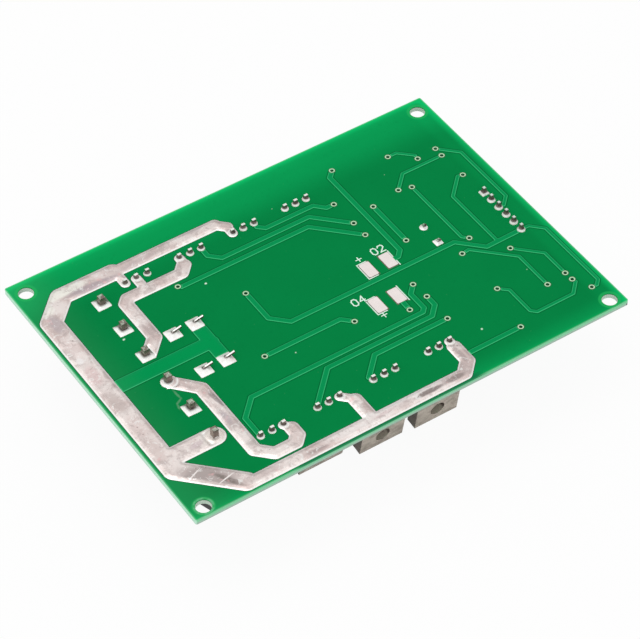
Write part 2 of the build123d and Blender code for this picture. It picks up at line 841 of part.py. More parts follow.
def chip_leads(count):
    """Two rows of leads along Y."""
    level = chip_standoff + chip_height / 2
    per_side = count // 2
    leads = []
    for index in range(per_side):
        y = (index - (per_side - 1) / 2) * lead_pitch
        lead = gull_lead(chip_body_width / 2 - 0.05, chip_span / 2, level)
        leads.append(Pos(0, y, 0) * lead)
        leads.append(Pos(0, y, 0) * Rot(0, 0, 180) * lead)
    return leads


def chip_body(count, leads):
    """Moulded body with drafted sides and a pin 1 dimple."""
    length = count // 2 * lead_pitch - 0.2
    middle = chip_standoff + chip_height / 2
    waist = Pos(0, 0, middle) * Rectangle(chip_body_width, length)
    body = extrude(waist, chip_height / 2, taper=8) + extrude(waist, -chip_height / 2, taper=8)
    top = chip_standoff + chip_height
    body -= Pos(-chip_body_width / 2 + 0.9, length / 2 - 0.9, top) * Cylinder(0.4, 0.2)
    for lead in leads:
        body -= lead
    return body


def small_body():
    """Body of a small two-ended surface part."""
    return Pos(0, 0, pad_thick + small_height / 2) * Box(
        small_length - 2 * small_end, small_width, small_height
    )


def small_ends():
    """Metal ends of a small surface part."""
    reach = (small_length - small_end) / 2
    return [
        Pos(side * reach, 0, pad_thick + small_height / 2) * Box(small_end, small_width, small_height)
        for side in (-1, 1)
    ]


def diode_case():
    """Moulded diode body, tapered above and below its waist."""
    middle = Pos(0, 0, diode_standoff + diode_height / 2) * Rectangle(diode_length, diode_width)
    return extrude(middle, diode_height / 2, taper=10) + extrude(middle, -diode_height / 2, taper=10)


def diode_tabs():
    """Two tabs that leave the diode's waist and fold under its ends."""
    end = diode_length / 2
    waist = diode_standoff + diode_height / 2
    outline = Polyline(
        (end, waist + 0.1),
        (end + 0.35, waist + 0.1),
        (end + 0.35, pad_thick),
        (end - 0.75, pad_thick),
        (end - 0.75, pad_thick + diode_tab_thick),
        (end + 0.15, pad_thick + diode_tab_thick),
        (end + 0.15, waist - 0.1),
        (end, waist - 0.1),
        close=True,
    )
    tab = extrude(Plane.XZ * make_face(outline), 0.75, both=True)
    return [Rot(0, 0, turn) * tab for turn in (0, 180)]


def regulator_frame():
    """Metal tab and two bent leads of the regulator."""
    half = 0.25
    tab = Pos(0, regulator_tab_offset, pad_thick + half) * Box(5.4, 5.6, 2 * half)
    heel = regulator_foot_reach - regulator_foot_length / 2
    toe = regulator_foot_reach + regulator_foot_length / 2
    route = [(-3.4, 1.2), (-4.1, 1.2), (-heel, pad_thick + half), (-toe, pad_thick + half)]
    upper = [(y, z + half) for y, z in route]
    lower = [(y, z - half) for y, z in reversed(route)]
    lead = extrude(Plane.YZ * make_face(Polyline(*upper, *lower, close=True)), 0.35, both=True)
    return [tab] + [Pos(side * regulator_foot_spread, 0, 0) * lead for side in (-1, 1)]


def regulator_case(frame):
    """Moulded regulator body over the metal tab."""
    foot = Pos(0, -0.3, pad_thick) * Rectangle(6.5, 6.0)
    body = extrude(foot, 2.3, taper=5)
    for piece in frame:
        body -= piece
    return body


def save_board():
    """The board, and the copper and solder on its two faces."""
    save("circuit_board", [circuit_board()])
    save("component_side_pads", [component_side_pads()])
    save("component_side_tracks", [component_side_tracks()])
    save("masked_tracks", [masked_tracks()])
    save("perimeter_trace", [power_trace(perimeter_face)])
    save("far_output_trace", [power_trace(far_output_face)])
    save("near_output_trace", [power_trace(near_output_face)])
    save("via_rings", [via_rings()])
    save("bare_pads", bare_pad_set())


def save_transistors():
    """Eight transistors, and the solder joints on their leads."""
    rows = ((far_pin, far_row_leans, True), (near_pin, near_row_leans, False))
    joints = []
    number = 0
    dome = solder_dome(joint_base, joint_height, 0.4)
    slot = Box(lead_width, lead_thick, joint_slot)
    for pin_place, leans, far_side in rows:
        for index, lean in enumerate(leans, 1):
            number += 1
            centre = pin_place(index, 2)
            leads = transistor_leads(centre, lean, far_side)
            save(f"transistor_case_{number}", [transistor_case(centre, lean, far_side, leads)])
            save(f"transistor_leads_{number}", leads)
            joints += [Pos(*pin_place(index, pin)) * (dome - slot) for pin in (1, 2, 3)]
    save("transistor_joints", joints)


def save_terminal_block():
    """Six-way screw terminal block and its joints."""
    def seat(shape):
        return hang(shape, terminal_x, terminal_offset, lift=pad_thick)

    ways = range(1, terminal_count + 1)
    save("terminal_housing", [seat(terminal_housing())])
    save("terminal_contacts", [seat(terminal_contact(way)) for way in ways])
    save("terminal_clamps", [seat(terminal_clamp(way)) for way in ways])
    save("terminal_screws", [seat(terminal_screw(way)) for way in ways])
    slot = Box(terminal_pin, terminal_pin, joint_slot)
    peak = solder_peak(pad_across, peak_height, 0.95) - slot
    cone = solder_dome(round_pad, peak_height, 0.95) - slot
    joints = [Pos(*place) * (cone if place == terminal_way(4) else peak) for place in terminal_pins]
    save("terminal_joints", joints)


def save_capacitors():
    """Two large cans and a small one, with seals, leads and joints."""
    cans = [(x, y, large_can_height, 0) for x, y in large_can_places]
    cans.append((*small_can_place, small_can_height, 90))
    seals, windings, leads, joints = [], [], [], []
    for number, (x, y, height, turn) in enumerate(cans, 1):
        clinch = 0.6 if turn else 1.9
        save(f"capacitor_can_{number}", [hang(capacitor_can(height), x, y, turn)])
        seals.append(hang(capacitor_seal(), x, y, turn))
        windings.append(hang(capacitor_winding(height), x, y, turn))
        pair = [hang(capacitor_lead(side, clinch), x, y, turn) for side in (-1, 1)]
        leads += pair
        for place in (large_can_pins + small_can_pins)[2 * number - 2 : 2 * number]:
            small = solder_dome(joint_base, joint_height, 0.4)
            joint = Pos(*place) * (small if turn else solder_peak(pad_across, 1.1, 0.5))
            for lead in pair:
                joint -= lead
            joints.append(joint)
    save("capacitor_seals", seals)
    save("capacitor_windings", windings)
    save("capacitor_leads", leads)
    save("capacitor_joints", joints)


def save_header():
    """Control header and its joints."""
    places = header_pins
    save("header_housing", [hang(header_housing(), header_x, header_offset, lift=pad_thick)])
    save("header_pins", [hang(header_pin_shape(), x, y) for x, y in places])
    slot = Box(header_pin, header_pin, joint_slot)
    first = solder_peak(header_land - 0.1, 0.9, 0.5) - slot
    dome = solder_dome(header_land - 0.1, 0.9, 0.42) - slot
    save("header_joints", [Pos(*places[0]) * first] + [Pos(*place) * dome for place in places[1:]])


def save_chips():
    """Four bridge drivers and the logic chip."""
    leads = chip_leads(driver_leads)
    body = chip_body(driver_leads, leads)
    all_leads = []
    for number, place in enumerate(driver_places, 1):
        save(f"driver_chip_{number}", [hang(body, *place)])
        all_leads += [hang(lead, *place) for lead in leads]
    save("driver_chip_leads", all_leads)
    logic = chip_leads(logic_leads)
    save("logic_chip", [hang(chip_body(logic_leads, logic), *logic_place)])
    save("logic_chip_leads", [hang(lead, *logic_place) for lead in logic])


def resistor_places():
    """Gate resistors beside the rows, and the one for the lamp."""
    return [(x, y, 0) for x, y in far_resistors + near_resistors + [lamp_resistor_place]]


def ceramic_places():
    """Ceramic capacitors, one beside each driver."""
    return [(x + boost_offset, y, 90) for x, y in driver_places]


def save_small_parts():
    """Chip resistors, ceramics, diodes, lamp and regulator."""
    resistors = resistor_places()
    ceramics = ceramic_places()
    save("chip_resistors", [hang(small_body(), *place) for place in resistors])
    save("chip_ceramics", [hang(small_body(), *place) for place in ceramics])
    ends = [hang(end, *place) for place in resistors + ceramics for end in small_ends()]
    save("chip_part_ends", ends)
    save("diode_cases", [hang(diode_case(), *place) for place in diode_places])
    save("diode_tabs", [hang(tab, *place) for place in diode_places for tab in diode_tabs()])
    save("lamp_lens", [hang(small_body(), *lamp_place)])
    save("lamp_ends", [hang(end, *lamp_place) for end in small_ends()])
    frame = regulator_frame()
    save("regulator_frame", [hang(piece, *regulator_place) for piece in frame])
    save("regulator_case", [hang(regulator_case(frame), *regulator_place)])


save_board()
save_transistors()
save_terminal_block()
save_capacitors()
save_header()
save_chips()
save_small_parts()
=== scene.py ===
import math
import bpy
import numpy as np
from mathutils import Matrix, Vector


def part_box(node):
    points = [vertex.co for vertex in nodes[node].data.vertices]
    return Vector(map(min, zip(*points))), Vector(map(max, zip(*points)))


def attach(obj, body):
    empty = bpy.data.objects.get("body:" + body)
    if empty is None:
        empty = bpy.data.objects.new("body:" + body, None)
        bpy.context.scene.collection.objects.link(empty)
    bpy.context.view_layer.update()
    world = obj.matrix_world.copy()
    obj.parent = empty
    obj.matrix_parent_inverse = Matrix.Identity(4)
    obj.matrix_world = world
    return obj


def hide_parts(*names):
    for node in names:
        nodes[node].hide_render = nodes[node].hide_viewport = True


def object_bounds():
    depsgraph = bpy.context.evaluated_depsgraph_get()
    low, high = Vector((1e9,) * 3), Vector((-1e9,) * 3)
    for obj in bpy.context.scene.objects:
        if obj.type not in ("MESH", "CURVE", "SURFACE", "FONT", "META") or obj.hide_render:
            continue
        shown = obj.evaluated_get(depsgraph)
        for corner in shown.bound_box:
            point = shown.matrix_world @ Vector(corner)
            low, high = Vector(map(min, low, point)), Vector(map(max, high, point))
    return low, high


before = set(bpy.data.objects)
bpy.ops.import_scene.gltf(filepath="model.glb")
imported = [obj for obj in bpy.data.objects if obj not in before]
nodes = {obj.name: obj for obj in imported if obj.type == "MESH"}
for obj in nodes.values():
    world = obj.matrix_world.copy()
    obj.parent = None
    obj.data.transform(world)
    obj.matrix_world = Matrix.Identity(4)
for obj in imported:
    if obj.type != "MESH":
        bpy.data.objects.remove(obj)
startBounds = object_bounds()
mm = 0.001
rng = np.random.default_rng(11)
boardLow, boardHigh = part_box("circuit_board")


# Shader wraps one material and keeps its node set-up short
class Shader:
    def __init__(self, name):
        self.mat = bpy.data.materials.new(name)
        self.mat.use_nodes = True
        self.tree = self.mat.node_tree
        self.bsdf = self.tree.nodes["Principled BSDF"]
        self.place = self.add("ShaderNodeTexCoord").outputs["Object"]

    def add(self, kind, **settings):
        node = self.tree.nodes.new(kind)
        for key, value in settings.items():
            setattr(node, key, value)
        return node

    def link(self, source, target):
        if isinstance(source, (int, float)):
            target.default_value = source
        elif isinstance(source, tuple):
            target.default_value = (*source, 1.0) if len(target.default_value) == 4 else source
        else:
            self.tree.links.new(source, target)

    def noise(self, scale, detail=3.0, rough=0.55, stretch=None, distort=0.0):
        node = self.add("ShaderNodeTexNoise")
        node.inputs["Scale"].default_value = scale
        node.inputs["Detail"].default_value = detail
        node.inputs["Roughness"].default_value = rough
        node.inputs["Distortion"].default_value = distort
        where = self.place
        if stretch:
            mapping = self.add("ShaderNodeMapping")
            mapping.inputs["Scale"].default_value = stretch
            self.link(where, mapping.inputs["Vector"])
            where = mapping.outputs["Vector"]
        self.link(where, node.inputs["Vector"])
        return node.outputs["Fac"]

    # round grains of that size at the scattered points of a cell pattern
    def speckle(self, scale, size):
        node = self.add("ShaderNodeTexVoronoi")
        node.inputs["Scale"].default_value = scale
        self.link(self.place, node.inputs["Vector"])
        return self.ramp(node.outputs["Distance"], size, 1.0, size * 1.6, 0.0)

    # smooth step from one value to another between a and b
    def ramp(self, value, a, atA, b, atB):
        node = self.add("ShaderNodeMapRange", interpolation_type="SMOOTHSTEP")
        for name, number in (("From Min", a), ("From Max", b), ("To Min", atA), ("To Max", atB)):
            node.inputs[name].default_value = number
        self.link(value, node.inputs["Value"])
        return node.outputs["Result"]

    def math(self, operation, a, b=0.0):
        node = self.add("ShaderNodeMath", operation=operation)
        self.link(a, node.inputs[0])
        self.link(b, node.inputs[1])
        return node.outputs[0]

    def times(self, a, b):
        return self.math("MULTIPLY", a, b)

    def total(self, *values):
        result = values[0]
        for value in values[1:]:
            result = self.math("ADD", result, value)
        return result

    # 1 inside a band around the middle value, soft to both sides
    def band(self, value, middle, half, soft):
        away = self.math("ABSOLUTE", self.math("SUBTRACT", value, middle))
        return self.ramp(away, half, 1.0, half + soft, 0.0)

    def mix(self, fac, a, b):
        node = self.add("ShaderNodeMix", data_type="RGBA")
        self.link(fac, node.inputs["Factor"])
        self.link(a, node.inputs[6])
        self.link(b, node.inputs[7])
        return node.outputs[2]

    def xyz(self):
        node = self.add("ShaderNodeSeparateXYZ")
        self.link(self.place, node.inputs[0])
        return node.outputs

    def normal(self):
        geometry = self.add("ShaderNodeNewGeometry")
        node = self.add("ShaderNodeSeparateXYZ")
        self.link(geometry.outputs["Normal"], node.inputs[0])
        return node.outputs

    def attribute(self, name):
        return self.add("ShaderNodeAttribute", attribute_name=name).outputs["Fac"]

    # an oval patch on the board, in millimetres, with a ragged soft edge
    def patch(self, x, y, rx, ry, turn=0.0, soft=0.4, ragged=None):
        mapping = self.add("ShaderNodeMapping", vector_type="TEXTURE")
        mapping.inputs["Location"].default_value = (x * mm, y * mm, 0)
        mapping.inputs["Rotation"].default_value = (0, 0, math.radians(turn))
        mapping.inputs["Scale"].default_value = (rx * mm, ry * mm, 1)
        self.link(self.place, mapping.inputs["Vector"])
        reach = self.add("ShaderNodeVectorMath", operation="LENGTH")
        self.link(mapping.outputs["Vector"], reach.inputs[0])
        away = reach.outputs["Value"]
        if ragged is not None:
            away = self.math("ADD", away, ragged)
        return self.ramp(away, 1 - soft, 1.0, 1 + soft, 0.0)

    def bump(self, height, distance, strength=1.0, after=None):
        node = self.add("ShaderNodeBump")
        node.inputs["Strength"].default_value = strength
        node.inputs["Distance"].default_value = distance
        self.link(height, node.inputs["Height"])
        if after is not None:
            self.link(after, node.inputs["Normal"])
        return node.outputs["Normal"]

    def finish(self, color, roughness, metallic=0.0, normal=None, specular=0.5):
        sockets = self.bsdf.inputs
        self.link(color, sockets["Base Color"])
        self.link(roughness, sockets["Roughness"])
        self.link(metallic, sockets["Metallic"])
        self.link(specular, sockets["Specular IOR Level"])
        if normal is not None:
            self.link(normal, sockets["Normal"])
        return self.mat


def paint(node, mat):
    obj = nodes[node]
    obj.data.materials.clear()
    obj.data.materials.append(mat)


def newPiece(name, verts, faces, mat, smooth=True):
    mesh = bpy.data.meshes.new(name)
    mesh.from_pydata([tuple(v) for v in verts], [], [tuple(int(i) for i in f) for f in faces])
    mesh.validate()
    mesh.update()
    if smooth:
        mesh.polygons.foreach_set("use_smooth", [True] * len(mesh.polygons))
    obj = bpy.data.objects.new(name, mesh)
    bpy.context.scene.collection.objects.link(obj)
    mesh.materials.append(mat)
    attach(obj, "root")
    return obj


def pointValues(obj, name, values):
    layer = obj.data.attributes.new(name, "FLOAT", "POINT")
    layer.data.foreach_set("value", np.asarray(values, np.float32))


# Green mask. Glow is how much lighter it is near each edge of the board: from, how much there, to
maskLook = {
    "level": 0.218, "blotch": 0.026, "deep": (0.0004, 0.150, 0.035), "light": (0.004, 0.520, 0.140),
    "farGlow": ((0.004, 0.100, 0.0135), (0.0, 0.050, 0.004), (0.0, 0.17, 0.0016)),
    "rightGlow": ((0.0, 0.20, 0.0020), (0.0035, 0.027, 0.0055)),
    "nearGlow": ((0.0, 0.06, 0.0012), (0.0, 0.075, 0.005)),
    "leftGlow": ((0.0, 0.12, 0.0006), (0.0, 0.045, 0.007)),
    "haze": (0.42, 0.55, 0.50), "hazeReach": (0.003, 0.012), "hazeDepth": 0.022,
    "scratch": (0.0, 0.13, 0.035), "fleck": (0.16, 0.46, 0.25),
    "blotchScale": 95, "fineScale": 900, "rippleScale": 160, "ripple": 0.00005, "fineRipple": 0.000006,
}
# Mask over the tracks: core of a narrow and of a wide one, the lit line along the side, the shadow beside it
ridgeLook = {
    "narrow": (0.003, 0.300, 0.092), "wide": (0.0005, 0.312, 0.086), "line": (0.060, 0.560, 0.225),
    "shadow": (0.0002, 0.110, 0.030), "tracks": (0.012, 0.335, 0.108),
}
specks = {  # bits of dust and flux: x, y, radius in mm, strength
    "grains": (
        (-16.3, 15.2, 0.24, 0.9), (-37.5, 11.3, 0.26, 0.9), (-11.8, -10.15, 0.18, 0.7),
        (21.6, -25.1, 0.24, 0.8), (-23.6, 19.2, 0.16, 0.4), (6.0, 25.5, 0.14, 0.3),
        (30.5, 21.0, 0.14, 0.3), (38.5, -17.0, 0.14, 0.3),
    ),
    "smear": ((-36.6, -5.4), (-36.4, -7.9), (-37.75, -8.65), (-38.05, -10.15)),
    "smearHalfWidth": 0.22, "smearStrength": 0.12, "color": (0.72, 0.92, 0.78),
}


def addSpecks(s, color, ragged):
    for x, y, radius, strength in specks["grains"]:
        grain = s.patch(x, y, radius, radius * 0.8, 30, 0.5, ragged)
        color = s.mix(s.times(grain, strength), color, specks["color"])
    for (x0, y0), (x1, y1) in zip(specks["smear"], specks["smear"][1:]):
        length, turn = math.hypot(x1 - x0, y1 - y0), math.degrees(math.atan2(y1 - y0, x1 - x0))
        middleX, middleY = (x0 + x1) / 2, (y0 + y1) / 2
        film = s.patch(middleX, middleY, length / 2, specks["smearHalfWidth"], turn, 0.6, ragged)
        color = s.mix(s.times(film, specks["smearStrength"]), color, specks["color"])
    return color


def maskShader(name, kind):
    s = Shader(name)
    look = maskLook
    x, y, z = s.xyz()
    toLeft, toRight = s.math("SUBTRACT", x, boardLow[0]), s.math("SUBTRACT", boardHigh[0], x)
    toNear, toFar = s.math("SUBTRACT", y, boardLow[1]), s.math("SUBTRACT", boardHigh[1], y)
    glows = []
    for gap, key in ((toFar, "farGlow"), (toRight, "rightGlow"), (toNear, "nearGlow"), (toLeft, "leftGlow")):
        glows += [s.ramp(gap, a, amount, b, 0.0) for a, amount, b in look[key]]
    blotch = s.noise(look["blotchScale"], 3)
    fine = s.noise(look["fineScale"], 2)
    level = s.total(look["level"] - look["blotch"] / 2, s.times(blotch, look["blotch"]), *glows)
    color = s.mix(s.times(s.math("SUBTRACT", level, 0.15), 2.703), look["deep"], look["light"])
    if kind == "ridges":
        edge = s.attribute("edge")   # mm in from the side of the track
        # painted light: a lit line along each side of a track, brighter on slopes facing the near left, and a
        # painted shadow on the skirt just outside it
        nx, ny, _ = s.normal()
        towards = s.ramp(s.total(s.times(nx, -0.6), s.times(ny, -0.8)), -0.25, 0.0, 0.25, 1.0)
        inside = s.ramp(edge, -0.02, 0.0, 0.10, 1.0)
        wide = s.ramp(edge, 0.45, 0.0, 0.9, 1.0)
        core = s.mix(wide, ridgeLook["narrow"], ridgeLook["wide"])
        shadow = s.band(edge, -0.11, 0.05, 0.10)
        color = s.mix(s.times(shadow, 0.75), color, ridgeLook["shadow"])
        color = s.mix(s.times(inside, 0.80), color, core)
        line = s.times(s.band(edge, 0.09, 0.03, 0.08), s.total(0.25, s.times(towards, 0.65)))
        color = s.mix(line, color, ridgeLook["line"])
    elif kind == "tracks":
        color = s.mix(0.7, color, ridgeLook["tracks"])
    hazeFrom, hazeTo = look["hazeReach"]
    haze = s.ramp(toLeft, hazeFrom, look["hazeDepth"], hazeTo, 0.0)
    color = s.mix(haze, color, look["haze"])
    color = s.mix(s.times(s.ramp(fine, 0.55, 0.0, 0.75, 1.0), 0.10), color, look["scratch"])
    color = s.mix(s.times(s.speckle(420, 0.030), 0.16), color, look["fleck"])
    if kind == "board":
        ragged = s.times(s.math("SUBTRACT", s.noise(1500, 3), 0.5), 1.4)
        color = addSpecks(s, color, ragged)
        color = boardEdges(s, color, x, y, z, toLeft, toRight, toNear, toFar)
    ripple = s.bump(s.noise(look["rippleScale"], 2), look["ripple"], 0.4)
    ripple = s.bump(fine, look["fineRipple"], 0.3, ripple)
    return s.finish(color, s.ramp(s.noise(260, 3), 0.3, 0.34, 0.7, 0.46), 0.0, ripple, specular=0.015)


# The cut sides of the board and the walls of its screw holes. Reaches and levels are in metres;
# beside is the stretch of the near edge with the wide trace right above it
cutLook = {
    "upper": (0.26, 0.72, 0.40), "lower": (0.42, 0.60, 0.49), "change": (-0.00072, -0.00048),
    # left is the left cut side, painted paler than the near side as painted light
    "left": (0.62, 0.97, 0.76), "line": (0.28, 0.33, 0.29), "lineLevel": (-0.00115, -0.00105),
    "fibre": (0.24, 0.52, 0.33), "fibreScale": 260, "fibreStretch": (1, 1, 10),
    "lip": (0.50, 0.80, 0.62), "lipWidth": 0.00034, "outermost": (0.00005, 0.0003),
    "besideLeft": (-0.029, -0.026), "besideRight": (0.013, 0.016), "besideRightWall": (0.014, 0.017),
    "besideDepth": (0.0009, 0.0013), "besideTop": (0.006, 0.175, 0.062), "besideWall": (0.030, 0.26, 0.12),
    "skin": (-0.00026, -0.00014),
    "hole": (0.0470, 0.0327), "ringReach": (0.0021, 0.0024), "boreReach": (0.00172, 0.00185),
    "ring": (0.020, 0.44, 0.110), "holeWall": (0.62, 0.74, 0.64), "holeLine": (0.004, 0.20, 0.06),
    "wornHole": (-47, -32.7), "wornRadius": 2.05, "worn": (0.26, 0.56, 0.38),
    # a dark spot painted on the lower cut edge at the right corner
    "darkSpot": (50.0, -34.9), "darkSpotRadius": 0.5, "darkSpotColor": (0.03, 0.05, 0.04),
}


def boardEdges(s, color, x, y, z, toLeft, toRight, toNear, toFar):
    look = cutLook

    def rising(value, key):
        low, high = look[key]
        return s.ramp(value, low, 0.0, high, 1.0)

    def falling(value, key, top=1.0):
        low, high = look[key]
        return s.ramp(value, low, top, high, 0.0)

    nearest = s.math("MINIMUM", s.math("MINIMUM", toLeft, toRight), s.math("MINIMUM", toNear, toFar))
    color = s.mix(s.ramp(nearest, 0.0, 0.30, look["lipWidth"], 0.0), color, look["lip"])
    beside = s.times(falling(x, "besideRight"), rising(x, "besideLeft"))
    beside = s.times(falling(toNear, "besideDepth"), beside)
    color = s.mix(s.times(beside, 0.85), color, look["besideTop"])
    hx = s.math("SUBTRACT", s.math("ABSOLUTE", x), look["hole"][0])
    hy = s.math("SUBTRACT", s.math("ABSOLUTE", y), look["hole"][1])
    toHole = s.math("SQRT", s.total(s.times(hx, hx), s.times(hy, hy)))
    color = s.mix(s.times(falling(toHole, "ringReach"), 0.65), color, look["ring"])
    worn = s.patch(*look["wornHole"], look["wornRadius"], look["wornRadius"], 0, 0.06)
    worn = s.times(worn, s.ramp(s.noise(900, 3), 0.36, 0.2, 0.60, 1.0))
    color = s.mix(s.times(worn, 0.45), color, look["worn"])
    nz = s.normal()[2]
    wall = s.ramp(s.math("ABSOLUTE", nz), 0.35, 1.0, 0.6, 0.0)
    fibre = s.noise(look["fibreScale"], 4, stretch=look["fibreStretch"])
    cut = s.mix(rising(z, "change"), look["lower"], look["upper"])
    # painted light: the left cut side is painted paler than the near one
    cut = s.mix(falling(toLeft, "outermost", 0.85), cut, look["left"])
    busSide = s.times(falling(x, "besideRightWall"), rising(z, "skin"))
    busSide = s.times(busSide, rising(x, "besideLeft"))
    busSide = s.times(busSide, falling(toNear, "outermost"))
    cut = s.mix(s.times(busSide, 0.9), cut, look["besideWall"])
    cut = s.mix(falling(z, "lineLevel", 0.8), cut, look["line"])
    cut = s.mix(s.times(s.ramp(fibre, 0.4, 0.0, 0.7, 1.0), 0.22), cut, look["fibre"])
    # the top of the screw hole wall is painted dark green, partly the mask layer and partly painted shadow
    # along the rim
    bore = s.mix(rising(z, "skin"), look["holeWall"], look["holeLine"])
    cut = s.mix(falling(toHole, "boreReach"), cut, bore)
    # a dark spot painted on the lower cut edge at the right corner
    darkSpot = s.patch(*look["darkSpot"], look["darkSpotRadius"], look["darkSpotRadius"], 0, 0.2)
    cut = s.mix(s.times(darkSpot, s.ramp(z, -0.0009, 1.0, -0.0006, 0.0)), cut, look["darkSpotColor"])
    return s.mix(wall, color, cut)


# Solder on the wide traces. Rim is near white, a painted highlight on the raised rim and painted glints in
# the fine crinkles; the skirt just outside the trace is painted dark as painted shadow
coatLook = {
    "base": (0.720, 0.590, 0.560), "pale": (0.92, 0.830, 0.795), "grey": (0.50, 0.420, 0.405),
    "rim": (1.0, 0.995, 0.965), "pink": (0.90, 0.50, 0.50), "pit": (0.20, 0.14, 0.13),
    "edgeShadow": (0.008, 0.085, 0.038),
    "cloudScale": 95, "smearScale": 330, "crumpleScale": 780, "grainScale": 1700, "blushScale": 560,
    "cloudDepth": 0.00016, "crumpleDepth": 0.00003, "grainDepth": 0.000008,
}
# Patches of the coat, partly real stains and dull places, partly painted reflections, highlights and shade:
# x, y, half length, half width in mm, turn in degrees, colour, strength
coatPatches = (
    # far run and far left corner
    (-42.0, 28.6, 6.0, 1.3, 0, (1.0, 0.985, 0.9), 0.9),
    (-46.6, 26.2, 1.7, 1.9, 0, (1.0, 0.985, 0.9), 0.85),
    (-35.6, 26.8, 5.2, 0.9, -3, (0.47, 0.39, 0.42), 0.75),
    (-46.4, 21.8, 1.2, 2.4, 0, (0.53, 0.455, 0.475), 0.7),
    (-24.0, 27.6, 4.5, 0.8, 4, (0.6, 0.5, 0.5), 0.5),
    (-10.0, 29.2, 3.0, 0.8, 5, (0.56, 0.48, 0.48), 0.5),
    # left run
    (-47.2, 14.5, 1.4, 3.2, 4, (0.92, 0.8, 0.77), 0.6),
    (-47.4, 6.0, 1.2, 2.6, -5, (0.8, 0.6, 0.59), 0.7),
    (-47.6, 10.8, 0.7, 0.9, 0, (1.0, 0.96, 0.95), 0.8),
    (-47.3, -2.0, 1.3, 3.2, 8, (0.64, 0.55, 0.52), 0.7),
    (-47.2, -9.5, 1.2, 3.0, 0, (0.8, 0.66, 0.63), 0.6),
    (-47.4, -16.5, 1.3, 3.0, 0, (0.7, 0.57, 0.54), 0.6),
    # near left corner
    (-42.6, -27.8, 5.6, 2.6, -48, (0.4, 0.335, 0.32), 0.85),
    (-39.9, -30.0, 3.0, 0.55, -60, (0.2, 0.165, 0.145), 0.75),
    (-44.5, -25.5, 1.6, 0.15, 22, (1.0, 0.93, 0.9), 0.9),
    (-39.75, -29.5, 1.95, 0.16, 12, (1.0, 0.93, 0.9), 0.9),
    # near run and its branches
    (-34.5, -32.2, 4.0, 1.0, -6, (0.62, 0.5, 0.48), 0.6),
    (-22.0, -33.3, 2.2, 0.5, -4, (0.4, 0.31, 0.3), 0.7),
    (-11.5, -32.5, 7.5, 1.4, 0, (0.98, 0.92, 0.89), 0.75),
    (-6.5, -32.7, 2.6, 0.4, 4, (0.74, 0.55, 0.55), 0.5),
    (0.5, -31.6, 9.0, 0.7, 0, (1.0, 0.97, 0.95), 0.7),
    (-16.0, -28.6, 1.6, 2.6, 0, (0.98, 0.93, 0.91), 0.7),
    (3.6, -32.9, 3.2, 0.55, 0, (0.235, 0.19, 0.18), 0.85),
    (9.6, -32.8, 2.4, 0.6, 0, (0.3, 0.245, 0.23), 0.8),
    (14.0, -28.5, 0.6, 2.4, 0, (0.42, 0.34, 0.33), 0.6),
    (13.6, -23.0, 1.0, 2.4, 24, (0.62, 0.46, 0.44), 0.6),
    # near output trace
    (-31.0, -11.9, 0.5, 2.4, 8, (0.27, 0.235, 0.24), 0.7),
    (-32.0, -17.0, 0.7, 2.0, 0, (0.45, 0.39, 0.42), 0.6),
    (-27.5, -24.5, 4.5, 1.4, 10, (0.58, 0.51, 0.48), 0.8),
    (-20.6, -22.2, 1.6, 2.4, 0, (0.6, 0.535, 0.5), 0.8),
    (-17.6, -23.4, 0.35, 2.4, 10, (0.62, 0.66, 0.74), 0.5),
    (-24.3, -19.0, 0.9, 0.7, 0, (0.44, 0.33, 0.3), 0.6),
    # far output trace
    (-36.6, 3.6, 1.2, 2.2, 10, (0.4, 0.345, 0.35), 0.6),
    (-26.3, 16.4, 2.6, 0.7, 0, (0.66, 0.53, 0.52), 0.6),
    # round the last terminal
    (-35.2, -18.4, 0.34, 0.5, 0, (0.14, 0.085, 0.08), 0.85),
    (-36.8, -20.3, 0.3, 0.34, 0, (0.14, 0.085, 0.08), 0.85),
    (-36.4, -19.2, 3.0, 2.2, 0, (0.98, 0.94, 0.86), 0.55),
    (-40.2, -19.6, 1.7, 0.6, 10, (0.7, 0.58, 0.6), 0.6),
)


